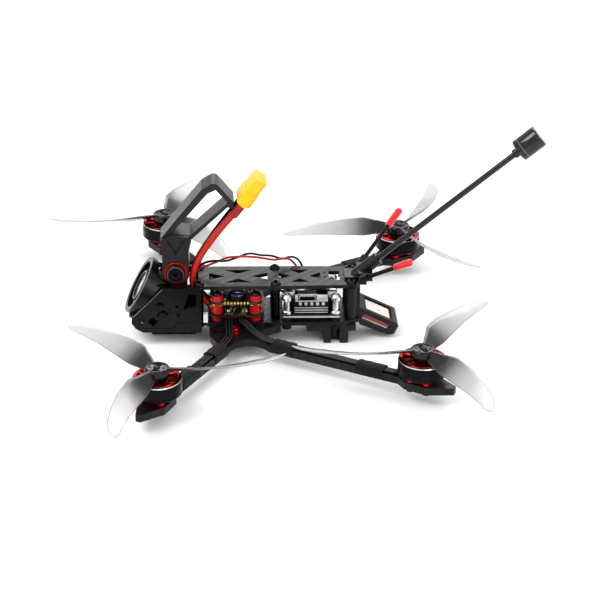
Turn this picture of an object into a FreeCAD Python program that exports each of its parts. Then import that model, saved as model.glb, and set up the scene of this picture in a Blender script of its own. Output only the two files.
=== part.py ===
import FreeCAD, Part
import math
import os
import re
import Sketcher

# Five-inch long-range racing drone. Millimetres, +Z up, nose towards -Y, the
# drone's own left side towards +X. The origin is on the ground plane, midway
# between the four motors.

V = FreeCAD.Vector

# ---------------------------------------------------------------- driving sizes
SIZES = {
    # motors and props
    "hub_front_x": 90.0, "hub_rear_x": 73.0, "hub_front_y": -65.7, "hub_rear_y": 65.7,
    "bell_radius": 12.35, "bell_wall": 1.05, "bell_height": 8.6, "bell_gap": 2.6,
    "foot_height": 1.7, "foot_pcd_radius": 6.0, "foot_end_radius": 2.3, "shaft_radius": 1.5,
    "running_gap": 0.06, "prop_radius": 64.8, "prop_hub_radius": 6.3, "prop_hub_height": 4.6,
    "stator_radius": 10.5,
    # frame
    "arm_top": 10.5, "arm_thick": 4.0, "arm_half_width": 3.4, "deck_thick": 2.0,
    "bay_height": 18.0, "roof_thick": 2.0, "post_radius": 2.3,
    "root_front_x": 31.0, "root_front_y": -30.0, "root_rear_x": 36.0, "root_rear_y": -3.0,
    "deck_half": 14.6, "roof_half": 11.8, "roof_front_y": -48.6, "roof_rear_y": 38.6,
    "post_front_y": -45.6, "post_mid_y": -5.6, "post_rear_y": 34.2,
    "post_wide_x": 9.6, "post_rear_x": 8.4,
    # nose
    "nose_half": 12.4, "side_thick": 1.8, "nose_front_y": -73.8, "nose_rear_y": -44.4,
    "camera_tilt": 28.5, "camera_y": -65.9, "camera_z": 22.2, "ring_ahead": 11.2,
    "ring_outer": 15.9, "ring_inner": 13.1, "bezel_radius": 11.6, "lens_radius": 7.2,
    "camera_half": 8.5, "slot_reach": 5.0,
    # action-camera cradle
    "pivot_y": -57.6, "pivot_rise": 6.3, "knuckle_radius": 7.2, "lug_half": 4.8,
    "prong_inner": 5.0, "prong_outer": 8.5, "cradle_half": 6.75, "pivot_bolt_radius": 2.5,
    # electronics
    "stack_pitch": 20.0, "stack_y": -26.2, "esc_half": 14.6, "fc_half": 13.6,
    "board_thick": 1.6, "stack_lift": 2.9, "pillar_radius": 3.0, "pillar_low": 5.4,
    "pillar_high": 2.8, "video_pitch": 25.5, "video_y": 13.0, "video_half": 14.9,
    "video_lift": 2.6, "video_height": 13.6,
    # tail
    "tail_foot_front_y": 10.6, "tail_foot_rear_y": 36.6, "tail_foot_half": 14.2,
    "gps_half": 9.2, "gps_length": 24.0, "gps_height": 7.8, "gps_tilt": 26.0,
    "rod_radius": 1.55, "rod_length": 103.5, "rod_rise": 40.5, "head_radius": 6.0,
    "head_length": 13.7, "stick_radius": 1.1, "cap_radius": 2.0,
    # cords
    "lead_radius": 1.75, "pair_radius": 0.6, "wire_radius": 0.62,
}

doc = FreeCAD.newDocument("racing_drone")
sheet = doc.addObject("Spreadsheet::Sheet", "Sizes")
for row, (alias, value) in enumerate(SIZES.items(), start=1):
    sheet.set(f"A{row}", alias)
    sheet.set(f"B{row}", str(value))
    sheet.setAlias(f"B{row}", alias)
doc.recompute()

NODES = []
WORD = re.compile(r"[a-z][a-z0-9_]*")


def bound(expression):
    """An expression of named sizes, with each name pointing at its cell."""
    return WORD.sub(lambda m: f"Sizes.{m[0]}" if m[0] in SIZES else m[0], str(expression))


def num(expression):
    """What an expression of named sizes comes to."""
    return float(sheet.evalExpression(bound(expression)))


def node(obj, name):
    """Give a finished sub-part the name of its node."""
    obj.Label = name
    NODES.append(obj)
    return obj


def place(obj, x, y, z, axis=None, angle=0):
    """Put an object at bound coordinates, turned by a bound angle about an axis."""
    if axis is not None:
        obj.Placement = FreeCAD.Placement(V(0, 0, 0), FreeCAD.Rotation(V(*axis), num(angle)))
        obj.setExpression("Placement.Rotation.Angle", bound(angle))
    for letter, value in zip("xyz", (x, y, z)):
        obj.setExpression(f"Placement.Base.{letter}", bound(value))
    return obj


def block(name, x, y, z):
    """A box between two bound limits along each axis."""
    obj = doc.addObject("Part::Box", name)
    for prop, (low, high) in zip(("Length", "Width", "Height"), (x, y, z)):
        obj.setExpression(prop, bound(f"({high}) - ({low})"))
    return place(obj, x[0], y[0], z[0])


TURN_TO = {"x": ((0, 1, 0), 90), "-x": ((0, 1, 0), -90), "y": ((1, 0, 0), -90), "z": (None, 0)}


def rod(name, radius, length, x, y, z, along="z"):
    """A cylinder from a bound point, along one of the row's axes."""
    obj = doc.addObject("Part::Cylinder", name)
    obj.setExpression("Radius", bound(radius))
    obj.setExpression("Height", bound(length))
    axis, angle = TURN_TO[along]
    return place(obj, x, y, z, axis, angle)


def tilted_rod(name, radius, length, x, y, z, rise):
    """A cylinder from a bound point in the YZ plane, raised from the horizontal."""
    obj = doc.addObject("Part::Cylinder", name)
    obj.setExpression("Radius", bound(radius))
    obj.setExpression("Height", bound(length))
    return place(obj, x, y, z, (1, 0, 0), f"({rise}) - 90")


def fuse(name, *parts, refine=True):
    obj = doc.addObject("Part::MultiFuse", name)
    obj.Shapes = list(parts)
    obj.Refine = refine
    return obj


def group(name, *parts):
    obj = doc.addObject("Part::Compound", name)
    obj.Links = list(parts)
    return obj


def cut(name, base, *tools):
    obj = doc.addObject("Part::Cut", name)
    obj.Base = base
    obj.Tool = tools[0] if len(tools) == 1 else fuse(name + "_tools", *tools)
    return obj


def common(name, first, second):
    obj = doc.addObject("Part::MultiCommon", name)
    obj.Shapes = [first, second]
    return obj


def mirrored(name, source):
    """The same piece on the other side of the drone."""
    obj = doc.addObject("Part::Mirroring", name)
    obj.Source = source
    obj.Base = V(0, 0, 0)
    obj.Normal = V(1, 0, 0)
    return obj


def feature(name, shape):
    obj = doc.addObject("Part::Feature", name)
    obj.Shape = shape
    return obj


# --------------------------------------------------------------- sketched plates
def draw_loop(sketch, corners):
    """A closed loop of lines; a corner of four values is reached by an arc.

    A corner is (x, y) or (x, y, radius, side): side 1 puts the arc's centre on
    the left of its chord, -1 on the right.
    """
    first = sketch.GeometryCount
    spots = [V(num(c[0]), num(c[1]), 0) for c in corners]
    count = len(corners)
    for i, corner in enumerate(corners[1:] + corners[:1], start=1):
        start, end = spots[i - 1], spots[i % count]
        if len(corner) == 2:
            sketch.addGeometry(Part.LineSegment(start, end))
            continue
        radius, side = num(corner[2]), corner[3]
        chord = end - start
        across = V(-chord.y, chord.x, 0).normalize()
        to_centre = math.sqrt(radius ** 2 - (chord.Length / 2) ** 2)
        centre = (start + end) / 2 + across * side * to_centre
        turns = [math.atan2(p.y - centre.y, p.x - centre.x) for p in (start, end)]
        low, high = turns if side == 1 else turns[::-1]
        sketch.addGeometry(Part.ArcOfCircle(Part.Circle(centre, V(0, 0, 1), radius), low, high))
    return first


def bind_loop(sketch, corners, first):
    """Tie every corner of a loop, and every arc's radius, to the sheet."""
    count = len(corners)
    for i in range(count):
        here, after = first + i, first + (i + 1) % count
        geometry = sketch.Geometry[here]
        follower = sketch.Geometry[after]
        end_pos = end_position(geometry, corners[(i + 1) % count])
        start_pos = start_position(follower, corners[(i + 1) % count])
        sketch.addConstraint(Sketcher.Constraint("Coincident", here, end_pos, after, start_pos))
    for i, corner in enumerate(corners):
        position = start_position(sketch.Geometry[first + i], corner)
        for kind, value in (("DistanceX", corner[0]), ("DistanceY", corner[1])):
            index = sketch.addConstraint(
                Sketcher.Constraint(kind, -1, 1, first + i, position, num(value)))
            sketch.setExpression(f"Constraints[{index}]", bound(value))
    for i, corner in enumerate(corners):
        if len(corner) == 4:
            arc = first + (i - 1) % count
            index = sketch.addConstraint(Sketcher.Constraint("Radius", arc, num(corner[2])))
            sketch.setExpression(f"Constraints[{index}]", bound(corner[2]))


def nearest_end(geometry, corner):
    spot = V(num(corner[0]), num(corner[1]), 0)
    return 1 if (geometry.StartPoint - spot).Length < (geometry.EndPoint - spot).Length else 2


def start_position(geometry, corner):
    return nearest_end(geometry, corner)


def end_position(geometry, corner):
    return nearest_end(geometry, corner)


def plate(name, plane, outline, start, thick, loops=(), circles=()):
    """A flat piece padded from a bound sketch on one of its body's planes.

    plane "XY" pads along +Z from height start, "YZ" along +X from x = start.
    """
    body = doc.addObject("PartDesign::Body", name)
    sketch = body.newObject("Sketcher::SketchObject", name + "_sketch")
    role = {"XY": "XY_Plane", "YZ": "YZ_Plane"}[plane]
    support = [f for f in body.Origin.OriginFeatures if f.Role == role][0]
    sketch.AttachmentSupport = (support, "")
    sketch.MapMode = "FlatFace"
    for loop in (outline, *loops):
        first = draw_loop(sketch, list(loop))
        bind_loop(sketch, list(loop), first)
    for x, y, radius in circles:
        index = sketch.addGeometry(Part.Circle(V(num(x), num(y), 0), V(0, 0, 1), num(radius)))
        for kind, value in (("DistanceX", x), ("DistanceY", y)):
            tie = sketch.addConstraint(
                Sketcher.Constraint(kind, -1, 1, index, 3, num(value)))
            sketch.setExpression(f"Constraints[{tie}]", bound(value))
        tie = sketch.addConstraint(Sketcher.Constraint("Radius", index, num(radius)))
        sketch.setExpression(f"Constraints[{tie}]", bound(radius))
    pad = body.newObject("PartDesign::Pad", name + "_pad")
    pad.Profile = sketch
    pad.setExpression("Length", bound(thick))
    letter = {"XY": "z", "YZ": "x"}[plane]
    body.setExpression(f"Placement.Base.{letter}", bound(start))
    return body


# ------------------------------------------------------------------- cord tubes
def tube_path(points):
    """Straight runs through hand-chosen points, joined by tangent arcs."""
    spots = [V(*p) for p in points]
    edges, radii = [], []
    start = spots[0]
    for before, corner, after in zip(spots, spots[1:], spots[2:]):
        back, ahead = before - corner, after - corner
        turn = math.pi - back.getAngle(ahead)
        reach = 0.45 * min(back.Length, ahead.Length)
        radius = reach / math.tan(turn / 2)
        entry = corner + V(back).normalize() * reach
        leave = corner + V(ahead).normalize() * reach
        bisector = (V(back).normalize() + V(ahead).normalize()).normalize()
        middle = corner + bisector * (math.hypot(radius, reach) - radius)
        edges.append(Part.LineSegment(start, entry).toShape())
        edges.append(Part.Arc(entry, middle, leave).toShape())
        radii.append(radius)
        start = leave
    edges.append(Part.LineSegment(start, spots[-1]).toShape())
    return Part.Wire(edges), radii


def tube(name, radius, points):
    """A cord's plain tube, with its bends printed and its volume compared."""
    path, radii = tube_path(points)
    first = V(*points[0])
    along = V(*points[1]) - first
    section = Part.Wire(Part.makeCircle(radius, first, along))
    solid = path.makePipeShell([section], True, False)
    expected = math.pi * radius ** 2 * path.Length
    if abs(solid.Volume / expected - 1) > 0.01:
        raise RuntimeError(f"{name}: tube volume {solid.Volume:.1f}, expected {expected:.1f}")
    bends = ", ".join(f"{r:.1f}" for r in radii)
    print(f"{name}: length {path.Length:.1f}, bend radii {bends}")
    return solid


# ------------------------------------------------------------------ shared levels
ARM_TOP = "arm_top"
ARM_BOTTOM = "(arm_top - arm_thick)"
DECK = "(arm_top + deck_thick)"
ROOF_UNDER = "(arm_top + deck_thick + bay_height)"
ROOF = "(arm_top + deck_thick + bay_height + roof_thick)"
BELL_BOTTOM = "(arm_top + foot_height + bell_gap)"
BELL_TOP = "(arm_top + foot_height + bell_gap + bell_height)"
PIVOT_Z = f"({ROOF} + pivot_rise)"
SIDE_OUT = "(nose_half + side_thick + 0.1)"
STACK_X = "(stack_pitch / 2)"
ESC_UNDER = f"({DECK} + stack_lift)"
FC_UNDER = f"({DECK} + stack_lift + board_thick + pillar_low)"
VIDEO_UNDER = f"({DECK} + video_lift)"
STACK_HOLES = [(x, f"stack_y {y} stack_pitch / 2")
               for x in (STACK_X, f"-{STACK_X}") for y in "+-"]
VIDEO_HOLES = [(f"{x} video_pitch / 2", f"video_y {y} video_pitch / 2")
               for x in ("", "-") for y in "+-"]
POSTS = [("post_wide_x", "post_front_y"), ("post_wide_x", "post_mid_y"),
         ("post_rear_x", "post_rear_y")]
POSTS += [(f"-{x}", y) for x, y in POSTS]
M3_HOLE = 1.6
M3_SHANK = 1.5
M2_HOLE = 1.1
M2_SHANK = 0.95
SCREW_HEAD_RADIUS = 2.75
SCREW_HEAD_HEIGHT = 1.7
SMALL_HEAD_RADIUS = 1.9
SMALL_HEAD_HEIGHT = 1.3

ROTORS = {
    # name: side, hub, spin seen from above (1 anticlockwise), angle of one blade's tip
    "front_left": (1, "front", -1, 104.7),
    "front_right": (-1, "front", 1, 152.0),
    "rear_left": (1, "rear", 1, 143.4),
    "rear_right": (-1, "rear", -1, 158.2),
}


def hub(end, side=1):
    """A motor's centre, as a pair of bound coordinates."""
    return (f"{side} * hub_{end}_x", f"hub_{end}_y")


def arm_angle(end):
    return f"atan2(hub_{end}_y - root_{end}_y; hub_{end}_x - root_{end}_x)"


def arm_length(end):
    """From the arm's root to its motor's centre."""
    return (f"sqrt((hub_{end}_x - root_{end}_x) ^ 2 + "
            f"(hub_{end}_y - root_{end}_y) ^ 2)")


def on_arm(end, along, across):
    """A point of the left arm, measured from the motor outwards and to its left."""
    turn = arm_angle(end)
    x = f"hub_{end}_x + ({along}) * cos({turn}) - ({across}) * sin({turn})"
    y = f"hub_{end}_y + ({along}) * sin({turn}) + ({across}) * cos({turn})"
    return (x, y)


# ------------------------------------------------------------------------ frame
def make_arms():
    """Two arms and their shared root, cut as one plate for each side."""
    half = "arm_half_width"
    front_root, rear_root = f"6 - {arm_length('front')}", f"-6 - {arm_length('rear')}"
    pad_front = [on_arm("front", u, v) for u, v in (
        (front_root, f"-{half}"), (-11.5, f"-{half}"), (-6.5, -6.9), (5.5, -7.6), (17.8, -1.3),
        (17.8, 1.3), (5.5, 7.6), (-6.5, 6.9), (-11.5, half), (f"1 + {front_root}", half))]
    pad_rear = [on_arm("rear", u, v) for u, v in (
        (rear_root, f"-{half}"), (-11.5, f"-{half}"), (-6.5, -6.9), (5.5, -7.6), (17.8, -1.3),
        (17.8, 1.3), (5.5, 7.6), (-6.5, 6.9), (-11.5, half), (rear_root, half))]
    arch_start = pad_rear[0]
    inner = 6.6
    outline = [(inner, -40.5), (25.0, -40.0), *pad_front, (*arch_start, 11.0, -1),
               *pad_rear[1:], (24.5, -11.5), (18.5, -11.0), (14.8, -5.0), (13.8, -2.8),
               (inner, -2.8)]
    slot = [(19.0, -39.0), (21.8, -38.2), (21.8, -33.6), (19.0, -34.4)]
    circles = [(x, y, M3_HOLE) for x, y in (
        (STACK_X, "stack_y + stack_pitch / 2"), (STACK_X, "stack_y - stack_pitch / 2"),
        ("post_wide_x", "post_mid_y"), (21.5, -27.0))]
    for end in ("front", "rear"):
        circles.append((*hub(end), 3.0))
        for turn in (45, 135, 225, 315):
            ring = (f"foot_pcd_radius * cos({turn})", f"foot_pcd_radius * sin({turn})")
            circles.append((*on_arm(end, *ring), M2_HOLE))
    left = plate("arms_left", "XY", outline, ARM_BOTTOM, "arm_thick", [slot], circles)
    node(left, "arms_left")
    node(mirrored("arms_right", left), "arms_right")


def both_sides(corners):
    """An outline's right-hand half, closed by its mirror image."""
    return corners + [(f"-({x})", y) for x, y in reversed(corners)]


def make_deck():
    """The lower carbon plate, which clamps the arms and carries the electronics."""
    outline = both_sides([
        (8.5, "nose_front_y + 1"), ("nose_half - 0.1", "nose_front_y + 5"),
        ("nose_half - 0.1", -43.6), ("deck_half", -41.0), ("deck_half", 30.0),
        (10.9, "roof_rear_y")])
    window = [(-5, -64), (5, -64), (5, -52), (-5, -52)]
    circles = [(x, y, M3_HOLE) for x, y in POSTS + STACK_HOLES]
    circles += [(x, y, M2_HOLE) for x, y in VIDEO_HOLES]
    node(plate("deck_plate", "XY", outline, ARM_TOP, "deck_thick", [window], circles),
         "deck_plate")


def make_roof():
    """The narrow upper plate, lightened by two crossed cut-outs."""
    front = "roof_front_y"
    outline = both_sides([
        (7.0, f"{front} + 2.6"), (7.6, front), ("roof_half - 2", front),
        ("roof_half", f"{front} + 2.4"), ("roof_half", "post_mid_y + 6"),
        ("roof_half - 0.8", "roof_rear_y - 2"), ("roof_half - 2.6", "roof_rear_y")])
    cells = []
    for near, far in ((-40.3, -9.6), (-3.6, 18.2)):
        middle = (near + far) / 2
        reach = (far - near) * 0.24
        cells.append([(near, -3.8), (near + reach * 1.15, 0), (near, 3.8)])
        cells.append([(far, 3.8), (far - reach * 1.15, 0), (far, -3.8)])
        for side in (-1, 1):
            cells.append([(middle - reach, 7.3 * side), (middle, 3.0 * side),
                          (middle + reach, 7.3 * side)])
    loops = [[(x, y) for y, x in cell] for cell in cells]
    loops.append([(-5.4, 22.6), (5.0, 22.6), (5.0, 28.4), (-5.4, 28.4)])
    circles = [(x, y, M3_HOLE) for x, y in POSTS]
    circles += [(1.4, 18.9 + 1.7, 0.7), (-3.2, 20.6, 0.7)]
    node(plate("roof_plate", "XY", outline, ROOF_UNDER, "roof_thick", loops, circles),
         "roof_plate")


def screws(name, spots, surface, length, head_down=False,
           head=(SCREW_HEAD_RADIUS, SCREW_HEAD_HEIGHT), shank=M3_SHANK):
    """Button-head screws in a group: heads on a surface, shanks running through it."""
    parts = []
    for i, (x, y) in enumerate(spots):
        top = f"{surface} - {head[1]}" if head_down else surface
        cap = rod(f"{name}_head_{i}", head[0], head[1], x, y, top)
        low = surface if head_down else f"{surface} - ({length})"
        stem = rod(f"{name}_stem_{i}", shank, length, x, y, low)
        socket_low = f"{surface} - {head[1]}" if head_down else f"{surface} + {head[1]} * 0.45"
        socket = rod(f"{name}_socket_{i}", head[0] * 0.42, head[1] * 0.55, x, y, socket_low)
        parts.append(cut(f"{name}_{i}", fuse(f"{name}_whole_{i}", cap, stem), socket))
    return group(name, *parts)


def make_posts():
    """Six hollow posts between the plates, with a screw from above and below."""
    posts = []
    for i, (x, y) in enumerate(POSTS):
        outer = rod(f"post_outer_{i}", "post_radius", "bay_height", x, y, DECK)
        bore = rod(f"post_bore_{i}", M3_HOLE - 0.05, "bay_height", x, y, DECK)
        posts.append(cut(f"post_{i}", outer, bore))
    node(group("posts", *posts), "posts")
    node(screws("roof_screws", POSTS, ROOF, "roof_thick + 6"), "roof_screws")
    on_deck = [p for p in POSTS if p[1] == "post_front_y"]
    on_arms = [p for p in POSTS if p[1] == "post_mid_y"]
    under_foot = [p for p in POSTS if p[1] == "post_rear_y"]
    node(group(
        "deck_screws",
        screws("deck_screws_front", on_deck, ARM_TOP, "deck_thick + 5", True,
               head=(SCREW_HEAD_RADIUS, SCREW_HEAD_HEIGHT)),
        screws("deck_screws_mid", on_arms, ARM_BOTTOM, "arm_thick + deck_thick + 5", True),
        screws("deck_screws_rear", under_foot, f"({ARM_TOP} - 1.8)", "1.8 + deck_thick + 5", True),
    ), "deck_screws")


def make_arm_bolts():
    """One red flanged bolt through the root of each pair of arms."""
    bolts = []
    for side in (1, -1):
        x = side * 21.5
        flange = rod(f"arm_bolt_flange_{side}", 3.2, 0.7, x, -27.0, ARM_TOP)
        head = rod(f"arm_bolt_head_{side}", 2.4, 2.3, x, -27.0, f"{ARM_TOP} + 0.7")
        stem = rod(f"arm_bolt_stem_{side}", M3_SHANK, "arm_thick", x, -27.0, ARM_BOTTOM)
        bolts.append(fuse(f"arm_bolt_{side}", flange, head, stem))
    node(group("arm_bolts", *bolts), "arm_bolts")


# ----------------------------------------------------------------------- motors
def make_motor_bases():
    """Red four-legged feet with the bearing tube, and the windings round the tube."""
    bases, stators, fixings = [], [], []
    for name, (side, end, _, _) in ROTORS.items():
        x, y = hub(end, side)
        disc = rod(f"foot_disc_{name}", 5.6, "foot_height", x, y, ARM_TOP)
        rising = "foot_height + bell_gap + bell_height - 3.0"
        bearing = rod(f"bearing_{name}", 3.2, rising, x, y, ARM_TOP)
        legs, holes = [], []
        for turn in (45, 135, 225, 315):
            ux, uy = on_arm(end, f"foot_pcd_radius * cos({turn})",
                            f"foot_pcd_radius * sin({turn})")
            ux = f"{side} * ({ux})"
            legs.append(rod(f"leg_{name}_{turn}", "foot_end_radius", "foot_height",
                            ux, uy, ARM_TOP))
            holes.append(rod(f"leg_hole_{name}_{turn}", "1.0", "foot_height - 0.4",
                             ux, uy, ARM_TOP))
            shank = rod(f"motor_shank_{name}_{turn}", M2_SHANK, "arm_thick + foot_height - 0.6",
                        ux, uy, ARM_BOTTOM)
            head = rod(f"motor_head_{name}_{turn}", SMALL_HEAD_RADIUS, SMALL_HEAD_HEIGHT,
                       ux, uy, f"{ARM_BOTTOM} - {SMALL_HEAD_HEIGHT}")
            fixings.append(fuse(f"motor_screw_{name}_{turn}", shank, head))
        bore = rod(f"bearing_bore_{name}", "shaft_radius + running_gap", rising, x, y, ARM_TOP)
        whole = fuse(f"foot_whole_{name}", disc, bearing, *legs)
        bases.append(cut(f"foot_{name}", whole, bore, *holes))
        core = rod(f"stator_core_{name}", "stator_radius", "bell_height - 3.2",
                   x, y, f"{BELL_BOTTOM} - 0.4")
        hole = rod(f"stator_hole_{name}", 3.25, "bell_height - 3.2", x, y, f"{BELL_BOTTOM} - 0.4")
        stators.append(cut(f"stator_{name}", core, hole))
    node(group("motor_feet", *bases), "motor_feet")
    node(group("stators", *stators), "stators")
    node(group("motor_screws", *fixings), "motor_screws")


def blade(spin):
    """One swept and twisted blade along +X, as a loft through its sections."""
    radius = num("prop_radius")
    stations = (
        # share of radius, chord, sweep back, pitch in degrees, thickness
        (0.070, 5.6, 0.0, 38, 2.2), (0.17, 8.0, -0.6, 36, 1.9), (0.30, 12.6, -1.6, 34, 1.6),
        (0.46, 15.2, -1.6, 27, 1.4), (0.64, 14.2, 0.2, 20, 1.2), (0.80, 11.4, 3.0, 15, 1.1),
        (0.92, 8.0, 6.2, 13, 0.95), (1.0, 2.6, 9.6, 12, 0.8))
    sections = []
    for share, chord, back, pitch, thick in stations:
        tilt = math.radians(pitch)
        ring = []
        for along, up in ((-0.5, 0.0), (-0.22, 0.5), (0.2, 0.42), (0.5, 0.0), (0.2, -0.42),
                          (-0.22, -0.5)):
            lateral = back + along * chord * math.cos(tilt) + up * thick * math.sin(tilt)
            height = -along * chord * math.sin(tilt) + up * thick * math.cos(tilt)
            ring.append(V(radius * share, -spin * lateral, height))
        sections.append(Part.makePolygon(ring + ring[:1]))
    return Part.makeLoft(sections, True, True)


TIP_BACK_ANGLE = 8.4


def make_rotors():
    """Bell, red cap with shaft, and three-bladed prop of each motor."""
    for name, (side, end, spin, tip_angle) in ROTORS.items():
        x, y = hub(end, side)
        outer = rod(f"bell_outer_{name}", "bell_radius", "bell_height", x, y, BELL_BOTTOM)
        inner = rod(f"bell_inner_{name}", "bell_radius - bell_wall", "bell_height",
                    x, y, BELL_BOTTOM)
        node(cut(f"bell_{name}", outer, inner), f"bell_{name}")

        cap_radius = "(bell_radius - bell_wall - 0.05)"
        disc = rod(f"cap_disc_{name}", cap_radius, 1.5, x, y, f"{BELL_TOP} - 2.0")
        boss = rod(f"cap_boss_{name}", 4.7, 2.4, x, y, f"{BELL_TOP} - 2.0")
        shaft_length = "foot_height + bell_gap + bell_height - 2.6"
        shaft = rod(f"shaft_{name}", "shaft_radius", shaft_length, x, y, f"{ARM_TOP} + 0.6")
        gaps = []
        for i in range(6):
            gap = rod(f"cap_gap_{name}_{i}", 2.35, 1.5, x, y, f"{BELL_TOP} - 2.0")
            turn = 60 * i + 30
            place(gap, f"{x} + 7.9 * cos({turn})", f"{y} + 7.9 * sin({turn})", f"{BELL_TOP} - 2.0")
            gaps.append(gap)
        lid = cut(f"cap_lid_{name}", disc, *gaps)
        node(fuse(f"cap_{name}", lid, boss, shaft), f"cap_{name}")

        hub_shape = Part.makeCylinder(num("prop_hub_radius"), num("prop_hub_height"),
                                      V(0, 0, -num("prop_hub_height") / 2 - 0.2))
        blades = [blade(spin) for _ in range(3)]
        for i, one in enumerate(blades):
            start = tip_angle + spin * TIP_BACK_ANGLE + 120 * i
            one.rotate(V(0, 0, 0), V(0, 0, 1), start)
        prop = feature(f"prop_{name}", hub_shape.multiFuse(blades))
        place(prop, x, y, f"{BELL_TOP} + 0.4 + prop_hub_height / 2 + 0.2")
        node(prop, f"prop_{name}")


def arm_wires(end, start_y, bundle):
    """Three motor wires from the speed controller along the left arm."""
    turn = math.radians(num(arm_angle(end)))
    hub_x, hub_y = num(f"hub_{end}_x"), num(f"hub_{end}_y")
    radius = num("wire_radius")
    flat = num(ARM_TOP) + radius + 0.08
    solids = []
    for k in (-1, 0, 1):
        across = k * 1.55

        def spot(along, shift, height):
            return (hub_x + along * math.cos(turn) - shift * math.sin(turn),
                    hub_y + along * math.sin(turn) + shift * math.cos(turn), height)

        begin = (num("esc_half"), start_y + 1.6 * k, num(ESC_UNDER) + 0.8)
        lead_off = (begin[0] + 3.4, begin[1], begin[2])
        fall = spot(bundle["land"] - 7.5, across, flat + 1.7)
        points = [begin, lead_off, fall, spot(bundle["land"] + 1.5, across, flat)]
        points += [spot(-13.6, across * 0.9, flat + 0.05), spot(-9.6, across * 0.9, flat + 3.4)]
        solids.append(tube(f"wire_{end}_{k}", radius, points))
    return solids


def make_wires():
    bundles = {"front": (-30.2, {"land": 7.0 - num(arm_length("front"))}),
               "rear": (-23.4, {"land": -6.0 - num(arm_length("rear"))})}
    for end, (start_y, bundle) in bundles.items():
        left = feature(f"wires_{end}_left", Part.makeCompound(arm_wires(end, start_y, bundle)))
        right = mirrored(f"wires_{end}_right", left)
        node(group(f"motor_wires_{end}", left, right), f"motor_wires_{end}")


def make_wraps():
    """Eight cloth-tape wraps that hold the wires down on the arms."""
    sleeves = []
    spans = {"front": ((-61.0, -49.5), (-34.0, -18.5)), "rear": ((-82.5, -71.0), (-35.0, -20.0))}
    wall, ease = 0.5, 0.06
    for end, pairs in spans.items():
        for i, (low, high) in enumerate(pairs):
            shells = []
            for grow in (wall + ease, ease):
                box = doc.addObject("Part::Box", f"wrap_{end}_{i}_{int(grow * 100)}")
                box.setExpression("Length", bound(high - low))
                box.setExpression("Width", bound(f"2 * (arm_half_width + {grow})"))
                box.setExpression("Height",
                                  bound(f"arm_thick + 2 * wire_radius + 0.4 + 2 * {grow}"))
                x, y = on_arm(end, low, f"-(arm_half_width + {grow})")
                place(box, x, y, f"{ARM_BOTTOM} - {grow}", (0, 0, 1), arm_angle(end))
                shells.append(box)
            sleeves.append(cut(f"wrap_{end}_{i}", *shells))
    left = group("wraps_left", *sleeves)
    node(group("arm_wraps", left, mirrored("wraps_right", left)), "arm_wraps")


# ------------------------------------------------------------------------- nose
def make_side_plates():
    """The nose's two side plates, with the camera's pivot hole and arc slot."""
    outline = [("nose_rear_y", 7.0), ("nose_rear_y", ROOF),
               (f"-80.6 + ({ROOF} - 16.2) * 0.969", ROOF), (-80.6, 16.2),
               (-81.0, 12.6), (-79.0, 9.4), ("nose_front_y - 1.2", 7.0)]
    window = [(-54.0, 20.0), (-47.2, 22.0), (-47.2, 28.6), (-51.0, 29.0)]
    diamond = [(-72.6, 13.2), (-69.6, 10.6), (-67.0, 13.6), (-70.0, 15.8)]
    notch = [(-77.4, 14.4), (-75.4, 11.0), (-73.8, 13.2), (-75.2, 16.0)]
    far, near = "slot_reach + 1.05", "slot_reach - 1.05"
    slot = [round_camera(far, -106), (*round_camera(far, -44), far, 1),
            round_camera(near, -44), (*round_camera(near, -106), near, -1)]
    circles = [("camera_y", "camera_z", "1.0 + running_gap"), (-57.4, 22.0, 0.8), (-56.8, 17.0, 0.8)]
    left = plate("side_plate_left", "YZ", outline, "nose_half + 0.1", "side_thick",
                 [window, diamond, notch, slot], circles)
    node(left, "side_plate_left")
    node(mirrored("side_plate_right", left), "side_plate_right")


def round_camera(reach, angle):
    """A point at a reach and an angle from the camera's pivot, seen from the left."""
    return (f"camera_y + ({reach}) * cos({angle})", f"camera_z + ({reach}) * sin({angle})")


def camera_axis(ahead):
    """A point on the camera's tilted axis, a distance ahead of its pivot."""
    return ("0", f"camera_y - ({ahead}) * cos(camera_tilt)",
            f"camera_z + ({ahead}) * sin(camera_tilt)")


def along_camera(name, radius, near, far):
    """A cylinder on the camera's axis between two distances ahead of the pivot."""
    return tilted_rod(name, radius, f"({far}) - ({near})", *camera_axis(near),
                      "180 - camera_tilt")


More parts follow.
